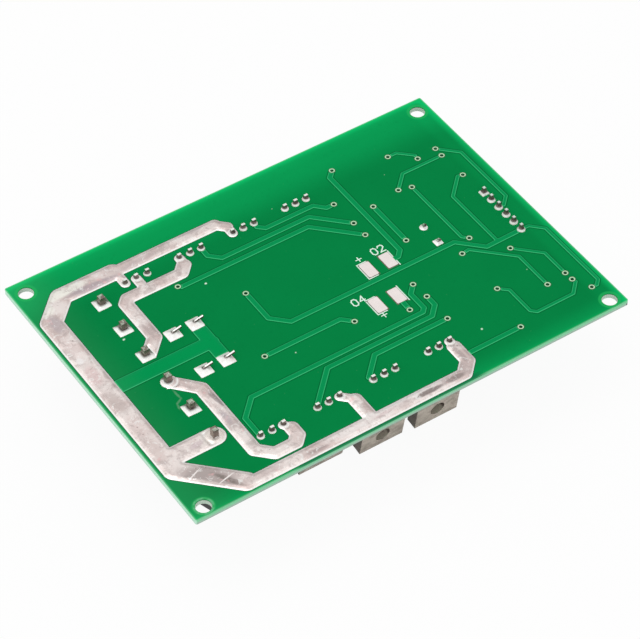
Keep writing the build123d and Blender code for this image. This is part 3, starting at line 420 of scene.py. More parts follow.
def coatShader():
    s = Shader("solderCoat")
    look = coatLook
    cloud = s.noise(look["cloudScale"], 3, 0.5, distort=0.8)
    smear = s.noise(look["smearScale"], 4, 0.6, distort=0.5)
    grain = s.noise(look["grainScale"], 3, 0.6)
    ragged = s.times(s.math("SUBTRACT", smear, 0.5), 0.9)
    crumple = s.noise(look["crumpleScale"], 4, 0.65, distort=1.2)
    color = s.mix(s.ramp(cloud, 0.42, 0.0, 0.60, 1.0), look["base"], look["pale"])
    color = s.mix(s.ramp(smear, 0.48, 0.0, 0.66, 0.65), color, look["grey"])
    # patches of painted reflection, highlight and shade, and real stains
    for x, y, rx, ry, turn, tone, strength in coatPatches:
        color = s.mix(s.times(s.patch(x, y, rx, ry, turn, 0.35, ragged), strength), color, tone)
    # grey and near-white spots in the fine crinkles, the near-white partly painted glints
    color = s.mix(s.ramp(crumple, 0.54, 0.0, 0.66, 0.45), color, look["grey"])
    color = s.mix(s.ramp(crumple, 0.34, 0.65, 0.44, 0.0), color, look["rim"])
    blush = s.ramp(s.noise(look["blushScale"], 2), 0.60, 0.0, 0.72, 0.45)
    blush = s.times(blush, s.ramp(s.noise(130, 2), 0.48, 0.0, 0.60, 1.0))
    color = s.mix(blush, color, look["pink"])
    pits = s.times(s.speckle(640, 0.09), s.ramp(s.noise(240, 2), 0.54, 0.0, 0.64, 0.5))
    color = s.mix(pits, color, look["pit"])
    # painted highlight: the raised rim of the coat is painted near white
    color = s.mix(s.times(s.attribute("rim"), 0.92), color, look["rim"])
    # painted shadow: the skirt just outside the trace is painted dark green
    color = s.mix(s.ramp(s.attribute("edge"), -0.05, 1.0, 0.01, 0.0), color, look["edgeShadow"])
    rough = s.ramp(smear, 0.35, 0.34, 0.7, 0.52)
    normal = s.bump(cloud, look["cloudDepth"], 0.5)
    normal = s.bump(crumple, look["crumpleDepth"], 0.5, normal)
    normal = s.bump(grain, look["grainDepth"], 0.5, normal)
    return s.finish(color, rough, 0.55, normal)


# Solder of the joints: bright below, brown round the lead, partly flux stain and partly painted shade,
# painted shade on the side away from the near left corner, and a greenish painted shade where back is set
jointLook = {
    "bright": (1.0, 0.99, 0.965), "dull": (0.90, 0.84, 0.81), "stainAndShade": (0.055, 0.034, 0.030),
    "stainAndShadePale": (0.15, 0.125, 0.105), "back": (0.030, 0.105, 0.050), "backPale": (0.20, 0.215, 0.165),
}


def jointShader():
    s = Shader("solderJoint")
    look = jointLook
    smear = s.noise(520, 3, 0.6, distort=0.4)
    color = s.mix(s.ramp(smear, 0.50, 0.0, 0.70, 1.0), look["bright"], look["dull"])
    stainAndShade = s.mix(s.ramp(s.noise(900, 3), 0.4, 0.0, 0.6, 1.0), look["stainAndShade"], look["stainAndShadePale"])
    back = s.mix(s.ramp(s.noise(1300, 3), 0.4, 0.0, 0.6, 1.0), look["back"], look["backPale"])
    # painted shade: greenish dark on the side away from the near left corner, and brown round the lead,
    # partly residue and partly painted shade
    color = s.mix(s.attribute("back"), color, back)
    color = s.mix(s.attribute("stainAndShade"), color, stainAndShade)
    normal = s.bump(smear, 0.00005, 0.5)
    normal = s.bump(s.noise(1900, 3), 0.00001, 0.5, normal)
    return s.finish(color, s.ramp(smear, 0.35, 0.28, 0.7, 0.42), 0.18, normal)


# hole is near black: the painted shade of the hole, also used as the painted shadow round the collar
collarLook = {"light": (0.70, 0.98, 0.64), "dark": (0.42, 0.68, 0.42), "hole": (0.004, 0.045, 0.016)}


def collarShader():
    s = Shader("viaCollar")
    color = s.mix(s.noise(1500, 3), collarLook["light"], collarLook["dark"])
    # painted shade: dark is set round the outer edge as a painted shadow and down the shallow hole
    color = s.mix(s.attribute("dark"), color, collarLook["hole"])
    normal = s.bump(s.noise(2400, 2), 0.00001, 0.5)
    return s.finish(color, s.ramp(s.noise(600, 2), 0.3, 0.4, 0.7, 0.6), 0.15, normal, specular=0.2)


def metalShader(name, light, dark, rough=0.3, scale=900, metallic=0.85):
    s = Shader(name)
    color = s.mix(s.noise(scale, 3), light, dark)
    smear = s.noise(scale * 0.25, 2)
    normal = s.bump(s.noise(scale * 2, 2), 0.00001, 0.5)
    return s.finish(color, s.ramp(smear, 0.3, rough, 0.7, rough + 0.2), metallic, normal)


# Leads and pins: plain metal below the board, a soldered stub above it whose up-facing faces and top edge are
# painted bright, partly the bare cut end and partly a painted highlight.
# Shank is the colour of the stub's near side, side that of its other sides; the capacitor leads and terminal
# contacts have a darker near side as painted shade
def leadShader(name, metal, shank, side, tip, topEdge, patchy=0.2):
    s = Shader(name)
    light, dark = metal
    z = s.xyz()[2]
    _, ny, nz = s.normal()
    color = s.mix(s.noise(900, 3), light, dark)
    above = s.ramp(z, 0.0, 0.0, 0.2 * mm, 1.0)
    # painted shade: the near side of the stub takes the shank colour
    nearSide = s.ramp(ny, -0.65, 1.0, -0.25, 0.0)
    soldered = s.mix(nearSide, side, shank)
    soldered = s.mix(s.ramp(s.noise(1200, 3), 0.4, 0.0, 0.6, 0.4), soldered, (0.30, 0.26, 0.22))
    color = s.mix(above, color, soldered)
    # partly painted highlight: up-facing faces and the top edge are painted with the bright tip colour
    upFacing = s.ramp(nz, 0.6, 0.0, 0.8, 1.0)
    cutEndAndHighlight = s.math("MAXIMUM", upFacing, s.ramp(z, topEdge - 0.12 * mm, 0.0, topEdge, 1.0))
    cutEndAndHighlight = s.times(cutEndAndHighlight, s.ramp(s.noise(1400, 2), patchy, 0.0, patchy + 0.12, 1.0))
    color = s.mix(s.times(above, cutEndAndHighlight), color, tip)
    normal = s.bump(s.noise(1800, 2), 0.00001, 0.5)
    return s.finish(color, s.ramp(s.noise(260, 2), 0.3, 0.27, 0.7, 0.45), 0.6, normal)


def plasticShader(name, base, spot, rough=0.45, grain=1600, depth=0.00002, dusty=0.15):
    s = Shader(name)
    color = s.mix(s.noise(grain * 0.2, 4), base, spot)
    dust = s.ramp(s.noise(grain * 0.12, 5, 0.7), 0.55, 0.0, 0.75, dusty)
    color = s.mix(dust, color, (0.35, 0.33, 0.30))
    normal = s.bump(s.noise(grain, 3), depth, 0.6)
    return s.finish(color, s.ramp(s.noise(grain * 0.3, 3), 0.3, rough, 0.7, rough + 0.18), 0.0, normal)


# Transistor mouldings, one plastic: the broad faces are painted pale and the narrow sides dark as painted
# light and shade, and bore paints up-facing walls, such as inside the tab hole, paler as painted light
caseLook = {
    "pale": (0.60, 0.525, 0.455), "mid": (0.38, 0.325, 0.275), "scratch": (0.22, 0.185, 0.155),
    "side": (0.105, 0.085, 0.070), "sideMid": (0.210, 0.178, 0.150), "speck": (0.10, 0.085, 0.07),
    "bore": (0.52, 0.46, 0.38),
}


def caseShader():
    s = Shader("transistorMoulding")
    look = caseLook
    _, ny, nz = s.normal()
    # painted light and shade: broad faces pale, narrow sides and hole walls dark, up-facing walls paler
    face = s.ramp(s.math("ABSOLUTE", ny), 0.55, 0.0, 0.8, 1.0)
    scuff = s.noise(420, 5, 0.7)
    streak = s.noise(260, 4, 0.6, stretch=(1, 1, 5))
    pale = s.mix(s.ramp(scuff, 0.38, 0.0, 0.62, 1.0), look["mid"], look["pale"])
    pale = s.mix(s.ramp(streak, 0.48, 0.0, 0.72, 0.45), pale, look["scratch"])
    dark = s.mix(scuff, look["side"], look["sideMid"])
    dark = s.mix(s.ramp(nz, 0.25, 0.0, 0.6, 1.0), dark, look["bore"])
    color = s.mix(face, dark, pale)
    color = s.mix(s.times(s.speckle(1100, 0.10), 0.35), color, look["speck"])
    normal = s.bump(scuff, 0.00004, 0.6)
    normal = s.bump(s.noise(2600, 3), 0.00001, 0.6, normal)
    return s.finish(color, s.ramp(streak, 0.3, 0.46, 0.7, 0.62), 0.0, normal, specular=0.3)


# Dark sleeve with a pale stripe down it, and a bare metal end. The stripe is placed in radians round the can
sleeveLook = {
    "dark": (0.012, 0.014, 0.022), "light": (0.03, 0.032, 0.045), "stripe": (0.42, 0.42, 0.40),
    "stripeAt": 2.4, "stripeHalf": 0.40, "endDark": (0.62, 0.62, 0.62), "endLight": (0.82, 0.82, 0.83),
}


def sleeveShader():
    s = Shader("canSleeve")
    look = sleeveLook
    nx, ny, nz = s.normal()
    turn = s.math("ARCTAN2", ny, nx)
    upright = s.math("LESS_THAN", s.math("ABSOLUTE", nz), 0.5)
    stripe = s.times(s.band(turn, look["stripeAt"], look["stripeHalf"], 0.03), upright)
    plain = s.mix(s.noise(500, 3), look["dark"], look["light"])
    color = s.mix(stripe, plain, look["stripe"])
    end = s.math("GREATER_THAN", s.math("ABSOLUTE", nz), 0.85)
    brushed = s.mix(s.noise(700, 4), look["endDark"], look["endLight"])
    color = s.mix(end, color, brushed)
    normal = s.bump(s.noise(900, 2), 0.00001, 0.5)
    return s.finish(color, 0.33, s.times(end, 0.9), normal)


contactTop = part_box("terminal_contacts")[1][2]
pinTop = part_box("header_pins")[1][2]
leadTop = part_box("transistor_leads_1")[1][2]
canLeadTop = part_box("capacitor_leads")[1][2]
tinned = ((0.83, 0.82, 0.80), (0.62, 0.60, 0.58))
gilt = ((0.86, 0.66, 0.30), (0.70, 0.50, 0.20))
steel = ((0.78, 0.78, 0.77), (0.58, 0.58, 0.57))
padTone = ((0.97, 0.885, 0.86), (0.84, 0.76, 0.735))
brown = (0.22, 0.165, 0.150)
mask = maskShader("solderMask", "board")
maskRidge = maskShader("maskOverCopper", "ridges")
maskTrack = maskShader("maskOverTracks", "tracks")
bus = coatShader()
joint = jointShader()
padTin = metalShader("tinnedPad", *padTone, 0.40, 700, 0.35)
ringTin = collarShader()
leadTin = metalShader("tinnedLead", *tinned, 0.25)
transistorLead = leadShader("transistorLead", tinned, brown, brown, (1.0, 0.99, 0.96), leadTop)
canLead = leadShader("canLead", tinned, (0.05, 0.035, 0.030), (0.80, 0.77, 0.73), (0.97, 0.95, 0.91),
                     canLeadTop, 0.34)
headerPin = leadShader("headerPin", gilt, brown, brown, (0.84, 1.0, 0.92), pinTop)
contact = leadShader("terminalContact", steel, brown, (0.27, 0.215, 0.18), (0.56, 0.66, 0.54),
                     contactTop, 0.44)
plated = metalShader("platedSteel", *steel, 0.27, 500)
case = caseShader()
sleeve = sleeveShader()
chip = plasticShader("chipMoulding", (0.018, 0.018, 0.02), (0.035, 0.035, 0.036), 0.5)
housing = plasticShader("terminalPlastic", (0.016, 0.017, 0.018), (0.03, 0.03, 0.032), 0.36, 700)
rubber = plasticShader("rubberSeal", (0.02, 0.02, 0.02), (0.04, 0.04, 0.04), 0.7)
paper = plasticShader("foilRoll", (0.50, 0.42, 0.30), (0.38, 0.31, 0.22), 0.7)
film = plasticShader("resistorFilm", (0.02, 0.02, 0.024), (0.05, 0.05, 0.055), 0.3)
ceramic = plasticShader("tanCeramic", (0.44, 0.31, 0.19), (0.34, 0.23, 0.14), 0.4)
lens = plasticShader("lampLens", (0.55, 0.03, 0.02), (0.40, 0.02, 0.015), 0.12)
white = plasticShader("whiteInk", (0.80, 0.97, 0.86), (0.66, 0.84, 0.72), 0.55, 1600, 0.00001, 0.05)
bare = plasticShader("bareRim", (0.20, 0.125, 0.105), (0.12, 0.085, 0.065), 0.6, 1600, 0.00001, 0.0)
print("finishes ready")

finishes = {
    "circuit_board": mask, "component_side_pads": padTin, "bare_pads": padTin,
    "component_side_tracks": maskTrack, "capacitor_leads": canLead, "capacitor_seals": rubber,
    "capacitor_windings": paper, "terminal_housing": housing, "terminal_screws": plated,
    "terminal_clamps": plated, "terminal_contacts": contact, "header_housing": chip, "header_pins": headerPin,
    "driver_chip_leads": leadTin, "logic_chip": chip, "logic_chip_leads": leadTin, "chip_resistors": film,
    "chip_ceramics": ceramic, "chip_part_ends": leadTin, "lamp_ends": leadTin, "lamp_lens": lens,
    "diode_cases": chip, "diode_tabs": leadTin, "regulator_case": chip, "regulator_frame": leadTin,
}
for number in range(1, 9):
    finishes[f"transistor_case_{number}"] = case
    finishes[f"transistor_leads_{number}"] = transistorLead
for number in range(1, 5):
    finishes[f"driver_chip_{number}"] = chip
for number in range(1, 4):
    finishes[f"capacitor_can_{number}"] = sleeve
for node, mat in finishes.items():
    paint(node, mat)


# Points and triangles of an imported piece, with equal points joined
def meshArrays(node):
    perMetre = 1e6   # points closer than a thousandth of a millimetre are one
    data = nodes[node].data
    co = np.array([v.co for v in data.vertices], float)
    data.calc_loop_triangles()
    tris = np.array([t.vertices for t in data.loop_triangles], int)
    keys = np.round(co * perMetre).astype(np.int64)
    _, first, ids = np.unique(keys, axis=0, return_index=True, return_inverse=True)
    return co[first], ids.reshape(-1)[tris]


# The separate solids of a piece, each as its points
def islands(node):
    co, tris = meshArrays(node)
    parent = list(range(len(co)))

    def root(i):
        while parent[i] != i:
            parent[i] = parent[parent[i]]
            i = parent[i]
        return i

    for a, b, c in tris:
        parent[root(b)] = root(a)
        parent[root(c)] = root(a)
    groups = {}
    for i in range(len(co)):
        groups.setdefault(root(i), []).append(i)
    return [co[g] for g in groups.values()]


# Edges of the flat face at that level, as two arrays of points
def outline(node, level):
    tolerance = 2e-6
    co, tris = meshArrays(node)
    flat = tris[(np.abs(co[tris][:, :, 2] - level) < tolerance).all(axis=1)]
    edges = np.sort(np.concatenate([flat[:, [0, 1]], flat[:, [1, 2]], flat[:, [2, 0]]]), axis=1)
    unique, counts = np.unique(edges, axis=0, return_counts=True)
    rim = unique[counts == 1]
    return co[rim[:, 0], :2], co[rim[:, 1], :2]


# Distance from the outline at each grid point, positive inside, up to reach
def insideDistance(starts, ends, xs, ys, reach):
    tile = 24
    nudge = 1.37e-8   # keeps a row off the corners of the outline
    inside = np.zeros((len(ys), len(xs)), bool)
    for j, y in enumerate(ys):
        y = y + nudge
        crossing = (starts[:, 1] > y) != (ends[:, 1] > y)
        a, b = starts[crossing], ends[crossing]
        if len(a):
            hits = np.sort(a[:, 0] + (y - a[:, 1]) * (b[:, 0] - a[:, 0]) / (b[:, 1] - a[:, 1]))
            inside[j] = np.searchsorted(hits, xs) % 2 == 1
    distance = np.full(inside.shape, reach)
    lowest, highest = np.minimum(starts, ends), np.maximum(starts, ends)
    for j in range(0, len(ys), tile):
        for i in range(0, len(xs), tile):
            tx, ty = xs[i:i + tile], ys[j:j + tile]
            close = (lowest[:, 0] < tx[-1] + reach) & (highest[:, 0] > tx[0] - reach)
            close &= (lowest[:, 1] < ty[-1] + reach) & (highest[:, 1] > ty[0] - reach)
            if not close.any():
                continue
            a, b = starts[close], ends[close]
            px, py = np.meshgrid(tx, ty)
            p = np.stack([px.ravel(), py.ravel()], 1)[:, None, :]
            ab = (b - a)[None]
            t = ((p - a[None]) * ab).sum(2) / np.maximum((ab ** 2).sum(2), 1e-18)
            gap = p - (a[None] + np.clip(t, 0, 1)[..., None] * ab)
            nearest = np.sqrt((gap ** 2).sum(2)).min(1).reshape(px.shape)
            distance[j:j + tile, i:i + tile] = np.minimum(distance[j:j + tile, i:i + tile], nearest)
    return np.where(inside, distance, -distance)


# Smooth uneven swell from a few crossed waves, mostly between -1 and 1
def waves(x, y, seed, scale):
    count = 9
    local = np.random.default_rng(seed)
    total = np.zeros_like(x)
    for _ in range(count):
        angle, phase = local.uniform(0, math.tau, 2)
        k = math.tau / (scale * local.uniform(0.6, 2.2))
        total += np.sin((x * math.cos(angle) + y * math.sin(angle)) * k + phase)
    return total * 2 / count


# Soft-edged sheet over the outline of a flat piece, with discs added to it. Skirt is how far it runs on
# past the outline, edge the distance in from it in mm, and rim is 1 at the edge and 0 further in
# Start and width are in mm, fringe in steps of the grid
sheetRim = {"start": 0.12, "width": 0.20, "fringe": 1.6}


def domedSheet(name, node, step, profile, mat, discs=(), skirt=0.0, reach=2.5 * mm):
    starts, ends = outline(node, 0.0)
    low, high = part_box(node)
    pad = 3 * step + skirt
    xs = np.arange(low[0] - pad, high[0] + pad, step)
    ys = np.arange(low[1] - pad, high[1] + pad, step)
    gx, gy = np.meshgrid(xs, ys)
    depth = insideDistance(starts, ends, xs, ys, reach)
    for cx, cy, radius in discs:
        depth = np.maximum(depth, np.clip(radius - np.hypot(gx - cx, gy - cy), -reach, None))
    slopeY, slopeX = np.gradient(depth, step)
    length = np.maximum(np.hypot(slopeX, slopeY), 1e-9)
    grown = depth + skirt
    inner = grown > 0
    near = (grown <= 0) & (grown > -sheetRim["fringe"] * step)
    px = np.where(near, gx - slopeX / length * grown, gx)
    py = np.where(near, gy - slopeY / length * grown, gy)
    shown = np.maximum(depth, -skirt)
    pz = profile(px, py, shown)
    usable = inner | near
    cell = usable[:-1, :-1] & usable[:-1, 1:] & usable[1:, :-1] & usable[1:, 1:]
    cell &= inner[:-1, :-1] | inner[:-1, 1:] | inner[1:, :-1] | inner[1:, 1:]
    index = -np.ones(depth.shape, int)
    used = np.zeros(depth.shape, bool)
    for dj in (0, 1):
        for di in (0, 1):
            used[dj:dj + cell.shape[0], di:di + cell.shape[1]] |= cell
    index[used] = np.arange(used.sum())
    verts = np.stack([px[used], py[used], pz[used]], 1)
    j, i = np.nonzero(cell)
    faces = np.stack([index[j, i], index[j, i + 1], index[j + 1, i + 1], index[j + 1, i]], 1)
    obj = newPiece(name, verts, faces, mat)
    pointValues(obj, "edge", shown[used] / mm)
    intoSheet = (shown[used] - sheetRim["start"] * mm) / (sheetRim["width"] * mm)
    pointValues(obj, "rim", 1 - np.clip(intoSheet, 0, 1))
    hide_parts(node)
    print(name, len(faces), "quads")


def middle(points):
    return (points[:, 0].min() + points[:, 0].max()) / 2, (points[:, 1].min() + points[:, 1].max()) / 2


jointPlaces = {
    node: [middle(points) for points in islands(node)]
    for node in ("transistor_joints", "header_joints", "terminal_joints", "capacitor_joints")
}
# The fourth and the last terminal end in a rounded trace, the others in square pads
terminalRow = sorted(jointPlaces["terminal_joints"], key=lambda p: -p[1])
roundTerminal, busTerminal = terminalRow[3], terminalRow[5]


# Wide solder-coated traces, in mm: a steep rim, then a low uneven crown.
# Lands are the radii of the discs of solder round the joints on them
solderCoat = {
    "step": 0.16, "skirt": 0.14, "film": 0.004, "rim": 0.13, "rimWidth": 0.16,
    "crown": 0.16, "crownStart": 0.12, "crownWidth": 0.75, "swell": 0.05, "longWave": 9, "shortWave": 2.6,
    "land": 1.0, "landReach": 1.1, "terminalLand": 1.75, "busLand": 2.15,
}


def coatHeight(seed):
    coat = solderCoat

    def height(x, y, depth):
        d = depth / mm
        edge = np.sqrt(1 - (1 - np.clip(d / coat["rimWidth"], 0, 1)) ** 2) * coat["rim"]
        crown = np.clip((d - coat["crownStart"]) / coat["crownWidth"], 0, 1)
        crown = crown * crown * (3 - 2 * crown)
        swell = waves(x, y, seed, coat["longWave"] * mm) * 0.75
        swell = swell + waves(x, y, seed + 5, coat["shortWave"] * mm) * 0.25
        return (coat["film"] + edge + crown * (coat["crown"] + swell * coat["swell"])) * mm
    return height


for seed, node in enumerate(("perimeter_trace", "far_output_trace", "near_output_trace")):
    starts, _ = outline(node, 0.0)
    lands = []
    for place in jointPlaces["transistor_joints"]:
        if np.hypot(starts[:, 0] - place[0], starts[:, 1] - place[1]).min() < solderCoat["landReach"] * mm:
            lands.append((*place, solderCoat["land"] * mm))
    if node == "near_output_trace":
        lands.append((*roundTerminal, solderCoat["terminalLand"] * mm))
    if node == "perimeter_trace":
        lands.append((*busTerminal, solderCoat["busLand"] * mm))
    domedSheet(node.replace("_trace", "_solder"), node, solderCoat["step"] * mm, coatHeight(seed * 10),
               bus, lands, solderCoat["skirt"] * mm)
print("traces coated")


# Masked tracks, in mm: the mask swells over the copper and runs out in a thin skirt
maskedTrack = {"step": 0.135, "height": 0.060, "shoulder": 0.26, "skirt": 0.26, "film": 0.004}


def trackHeight(x, y, depth):
    d = np.clip(depth / (maskedTrack["shoulder"] * mm), 0, 1)
    return (maskedTrack["film"] + maskedTrack["height"] * np.sqrt(np.maximum(1 - (1 - d) ** 2, 0))) * mm


domedSheet("mask_ridges", "masked_tracks", maskedTrack["step"] * mm, trackHeight, maskRidge,
           skirt=maskedTrack["skirt"] * mm)
print("tracks laid")


# Rings of points, first to last, closed by a cap on the last
def ringMesh(rings):
    verts = [p for ring in rings for p in ring]
    n = len(rings[0])
    faces = []
    for r in range(len(rings) - 1):
        for k in range(n):
            faces.append((r * n + k, r * n + (k + 1) % n, (r + 1) * n + (k + 1) % n, (r + 1) * n + k))
    faces.append(tuple((len(rings) - 1) * n + k for k in range(n)))
    return verts, faces


# Via collars and the dark holes in them. Each ring is its radius and height above the mask, in mm,
# and how dark it is painted: a painted shadow round the outer edge, and painted shade down the shallow hole
viaCollar = {
    "sides": 24,
    "rings": (
        (0.75, 0.000, 0.9), (0.66, 0.012, 1.0), (0.59, 0.045, 0.15), (0.49, 0.050, 0.0),
        (0.41, 0.045, 0.1), (0.36, 0.010, 1.0), (0.34, -0.30, 1.0), (0.02, -0.34, 1.0),
    ),
}
viaTurns = [math.tau * k / viaCollar["sides"] for k in range(viaCollar["sides"])]
verts, faces, dark = [], [], []
for points in islands("via_rings"):
    side = 1 if points[:, 2].mean() > boardLow[2] / 2 else -1
    level = 0.0 if side > 0 else boardLow[2]
    cx, cy = middle(points)
    rings = []
    for radius, lift, shade in viaCollar["rings"]:
        r, z = radius * mm, level + side * lift * mm
        rings.append([(cx + r * math.cos(a), cy + r * math.sin(a), z) for a in viaTurns])
        dark += [shade] * len(viaTurns)
    v, f = ringMesh(rings)
    faces += [tuple(i + len(verts) for i in (face if side > 0 else face[::-1])) for face in f]
    verts += v
collars = newPiece("via_collars", verts, faces, ringTin)
pointValues(collars, "dark", dark)
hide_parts("via_rings")
print("vias set")


# Solder joints, in mm. Power shapes the slope, and neck is the share of the base left at the top. Uneven,
# tilt and spread are how much joints vary. Land is the height of the flat pad at the foot. Stain and shade is
# the share of the rise where the brown round the lead starts, partly residue, partly painted shade, and far
# how much of the side away from the near left corner it covers as painted shade. Back is how strong the
# greenish painted shade is there
jointKinds = {
    "transistor_joints": {
        "name": "transistor_solder", "base": 0.81, "height": 0.62, "power": (1.5, 1.0), "neck": 0.34,
        "uneven": 0.10, "tilt": 0.06, "spread": 0.12, "land": 0.04, "stainAndShade": 0.42, "far": 0.55, "back": 0.0,
    },
    "header_joints": {
        "name": "header_solder", "base": 0.88, "height": 0.70, "power": (1.6, 0.95), "neck": 0.36,
        "uneven": 0.06, "tilt": 0.02, "spread": 0.05, "land": 0.03, "stainAndShade": 0.50, "far": 0.95, "back": 0.0,
    },
    "terminal_joints": {
        "name": "terminal_solder", "base": 1.55, "height": 1.15, "power": (0.80, 1.7), "neck": 0.26,
        "uneven": 0.04, "tilt": 0.05, "spread": 0.12, "land": 0.09, "stainAndShade": 0.20, "far": 0.35, "back": 0.9,
    },
    "capacitor_joints": {
        "name": "capacitor_solder", "base": 1.50, "height": 0.75, "power": (0.9, 1.6), "neck": 0.26,
        "uneven": 0.04, "tilt": 0.05, "spread": 0.12, "land": 0.09, "stainAndShade": 0.78, "far": 0.15, "back": 0.12,
    },
}
jointGrid = {
    "sides": 32, "levels": 11, "corner": 1.38, "squareness": 0.7, "footBulge": 0.3, "stainAndShadeSoft": 0.25,
}
farSide = (0.55, 0.83)
smallCanBase, busTerminalBase = 0.85, 1.15


def jointMesh(place, kind, base, square):
    grid = jointGrid
    phase = rng.uniform(0, math.tau, 3)
    leanX, leanY = rng.normal(0, kind["tilt"]) * mm, rng.normal(0, kind["tilt"]) * mm
    height = kind["height"] * (base / kind["base"]) * (1 + rng.normal(0, kind["spread"])) * mm
    neck = kind["neck"]
    rings, stainAndShade, back = [], [], []
    for level in range(-1, grid["levels"] + 1):
        share = 1 - max(level, 0) / grid["levels"] * (1 - neck)
        outward = min(max((share - neck) / (1 - neck), 0.0), 1.0)
        rise = (1 - outward ** kind["power"][0]) ** kind["power"][1]
        z = 0.0 if level < 0 else kind["land"] * mm + height * rise
        up = min(max((rise - kind["stainAndShade"]) / grid["stainAndShadeSoft"], 0.0), 1.0)
        ring = []
        for k in range(grid["sides"]):
            angle = math.tau * k / grid["sides"]
            cx, cy = math.cos(angle), math.sin(angle)
            reach = base
            if square:
                box = 1 / max(abs(cx), abs(cy))
                reach = base * (1 + (min(box, grid["corner"]) - 1) * share ** grid["squareness"])
            waviness = sum(math.sin((m + 2) * angle + phase[m]) / (m + 2) for m in range(3))
            bulge = kind["uneven"] * share * waviness
            r = reach * share * (1 + bulge * (1 if level > 0 else grid["footBulge"])) * mm
            ring.append((place[0] + r * cx + leanX * rise, place[1] + r * cy + leanY * rise, z))
            # painted shade: the side away from the near left corner is darkened, and on the terminals tinted
            # greenish
            away = cx * farSide[0] + cy * farSide[1]
            behind = min(max(away * 2.4 - 0.7, 0.0), 1.0) * (0.6 + 0.4 * min(rise * 5, 1.0))
            stainAndShade.append(max(up, behind * kind["far"]))
            back.append(min(max(away * 3.0 - 0.4, 0.0), 1.0) * kind["back"])
        rings.append(ring)
    verts, faces = ringMesh(rings)
    return verts, faces, stainAndShade, back


# Smaller gives the places whose base differs, with their own base
def jointSet(node, isSquare, smaller=None):
    kind = jointKinds[node]
    smaller = smaller or {}
    verts, faces, stainAndShade, back = [], [], [], []
    for place in jointPlaces[node]:
        v, f, s, b = jointMesh(place, kind, smaller.get(place, kind["base"]), isSquare(place))
        faces += [tuple(i + len(verts) for i in face) for face in f]
        verts += v
        stainAndShade += s
        back += b
    obj = newPiece(kind["name"], verts, faces, joint)
    pointValues(obj, "stainAndShade", stainAndShade)
    pointValues(obj, "back", back)
    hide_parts(node)


firstPin = max(jointPlaces["header_joints"], key=lambda p: p[1])
smallCan = [p for p in jointPlaces["capacitor_joints"] if p[0] > 0]
farSmallCan = max(smallCan, key=lambda p: p[1])
jointSet("transistor_joints", lambda p: False)
jointSet("header_joints", lambda p: p == firstPin)
jointSet("terminal_joints", lambda p: p not in (roundTerminal, busTerminal), {busTerminal: busTerminalBase})
jointSet("capacitor_joints", lambda p: p != farSmallCan, {p: smallCanBase for p in smallCan})
print("joints soldered")


# White marks beside the two empty places, in mm. Step is how much the tops of crossing strokes differ
ink = {
    "line": 0.26, "thick": 0.02, "step": 0.002, "numberHeight": 1.75, "numberWidth": 1.12, "gap": 0.55,
    "plus": 0.6, "plusLine": 0.22, "frameGap": 0.24, "frameInset": 0.4, "frameLine": 0.22,
    "bareGap": 0.16, "bareThick": 0.004,
}
numbers = (("02", 15.65, 3.05), ("04", 4.55, -6.45))
plusMarks = ((12.4, 3.85), (8.0, -11.45))
strokes = {
    "0": ((0.28, 0), (0.72, 0), (1, 0.22), (1, 0.78), (0.72, 1), (0.28, 1), (0, 0.78), (0, 0.22), (0.28, 0)),
    "2": ((0, 0.80), (0.2, 1), (0.8, 1), (1, 0.8), (1, 0.6), (0, 0), (1, 0)),
    "4": ((0.75, 0), (0.75, 1), (0, 0.35), (1, 0.35)),
}
boxFaces = ((7, 6, 5, 4), (0, 1, 2, 3), (0, 4, 5, 1), (1, 5, 6, 2), (2, 6, 7, 3), (3, 7, 4, 0))


# A low box along each length of the path
def strokeFaces(path, width, thick, verts, faces):
    half = width / 2 * mm
    for (x0, y0), (x1, y1) in zip(path, path[1:]):
        length = math.hypot(x1 - x0, y1 - y0)
        ux, uy = (x1 - x0) / length, (y1 - y0) / length
        x0, y0, x1, y1 = (v * mm for v in (x0, y0, x1, y1))
        x0, y0, x1, y1 = x0 - ux * half, y0 - uy * half, x1 + ux * half, y1 + uy * half
        start = len(verts)
        top = thick + ink["step"] * (start // 8 % 4)   # 8 points a box, 4 heights in turn
        for z in (0.0, top * mm):
            verts += [(x0 - uy * half, y0 + ux * half, z), (x1 - uy * half, y1 + ux * half, z),
                      (x1 + uy * half, y1 - ux * half, z), (x0 + uy * half, y0 - ux * half, z)]
        faces += [tuple(start + i for i in f) for f in boxFaces]


def number(text, x, y, verts, faces):
    for k, char in enumerate(text):
        left = x + k * (ink["numberWidth"] + ink["gap"])
        points = [(left + px * ink["numberWidth"], y + py * ink["numberHeight"]) for px, py in strokes[char]]
        strokeFaces(points, ink["line"], ink["thick"], verts, faces)


verts, faces = [], []
bareVerts, bareFaces = [], []
for text, x, y in numbers:
    number(text, x, y, verts, faces)
for cx, cy in plusMarks:
    arm = ink["plus"]
    for line in ([(cx - arm, cy), (cx + arm, cy)], [(cx, cy - arm), (cx, cy + arm)]):
        strokeFaces(line, ink["plusLine"], ink["thick"], verts, faces)
padBoxes = [(*points.min(axis=0)[:2] / mm, *points.max(axis=0)[:2] / mm) for points in islands("bare_pads")]
for x0, y0, x1, y1 in padBoxes:
    gap = ink["bareGap"] / 2
    left, low, right, high = x0 - gap, y0 - gap, x1 + gap, y1 + gap
    around = [(left, low), (right, low), (right, high), (left, high), (left, low)]
    strokeFaces(around, ink["bareGap"], ink["bareThick"], bareVerts, bareFaces)
    # the left pad of a pair has a bracket round it, the right pad a line beside it
    gap = ink["frameGap"]
    left, low, right, high = x0 - gap, y0 - gap, x1 + gap, y1 + gap
    partner = min((b for b in padBoxes if b[0] != x0), key=lambda b: abs(b[0] - x0) + abs(b[1] - y0))
    if partner[0] > x0:
        inner = x1 - ink["frameInset"]
        frameLine = [(inner, low), (left, low), (left, high), (inner, high)]
    else:
        frameLine = [(right, low), (right, high)]
    strokeFaces(frameLine, ink["frameLine"], ink["thick"], verts, faces)
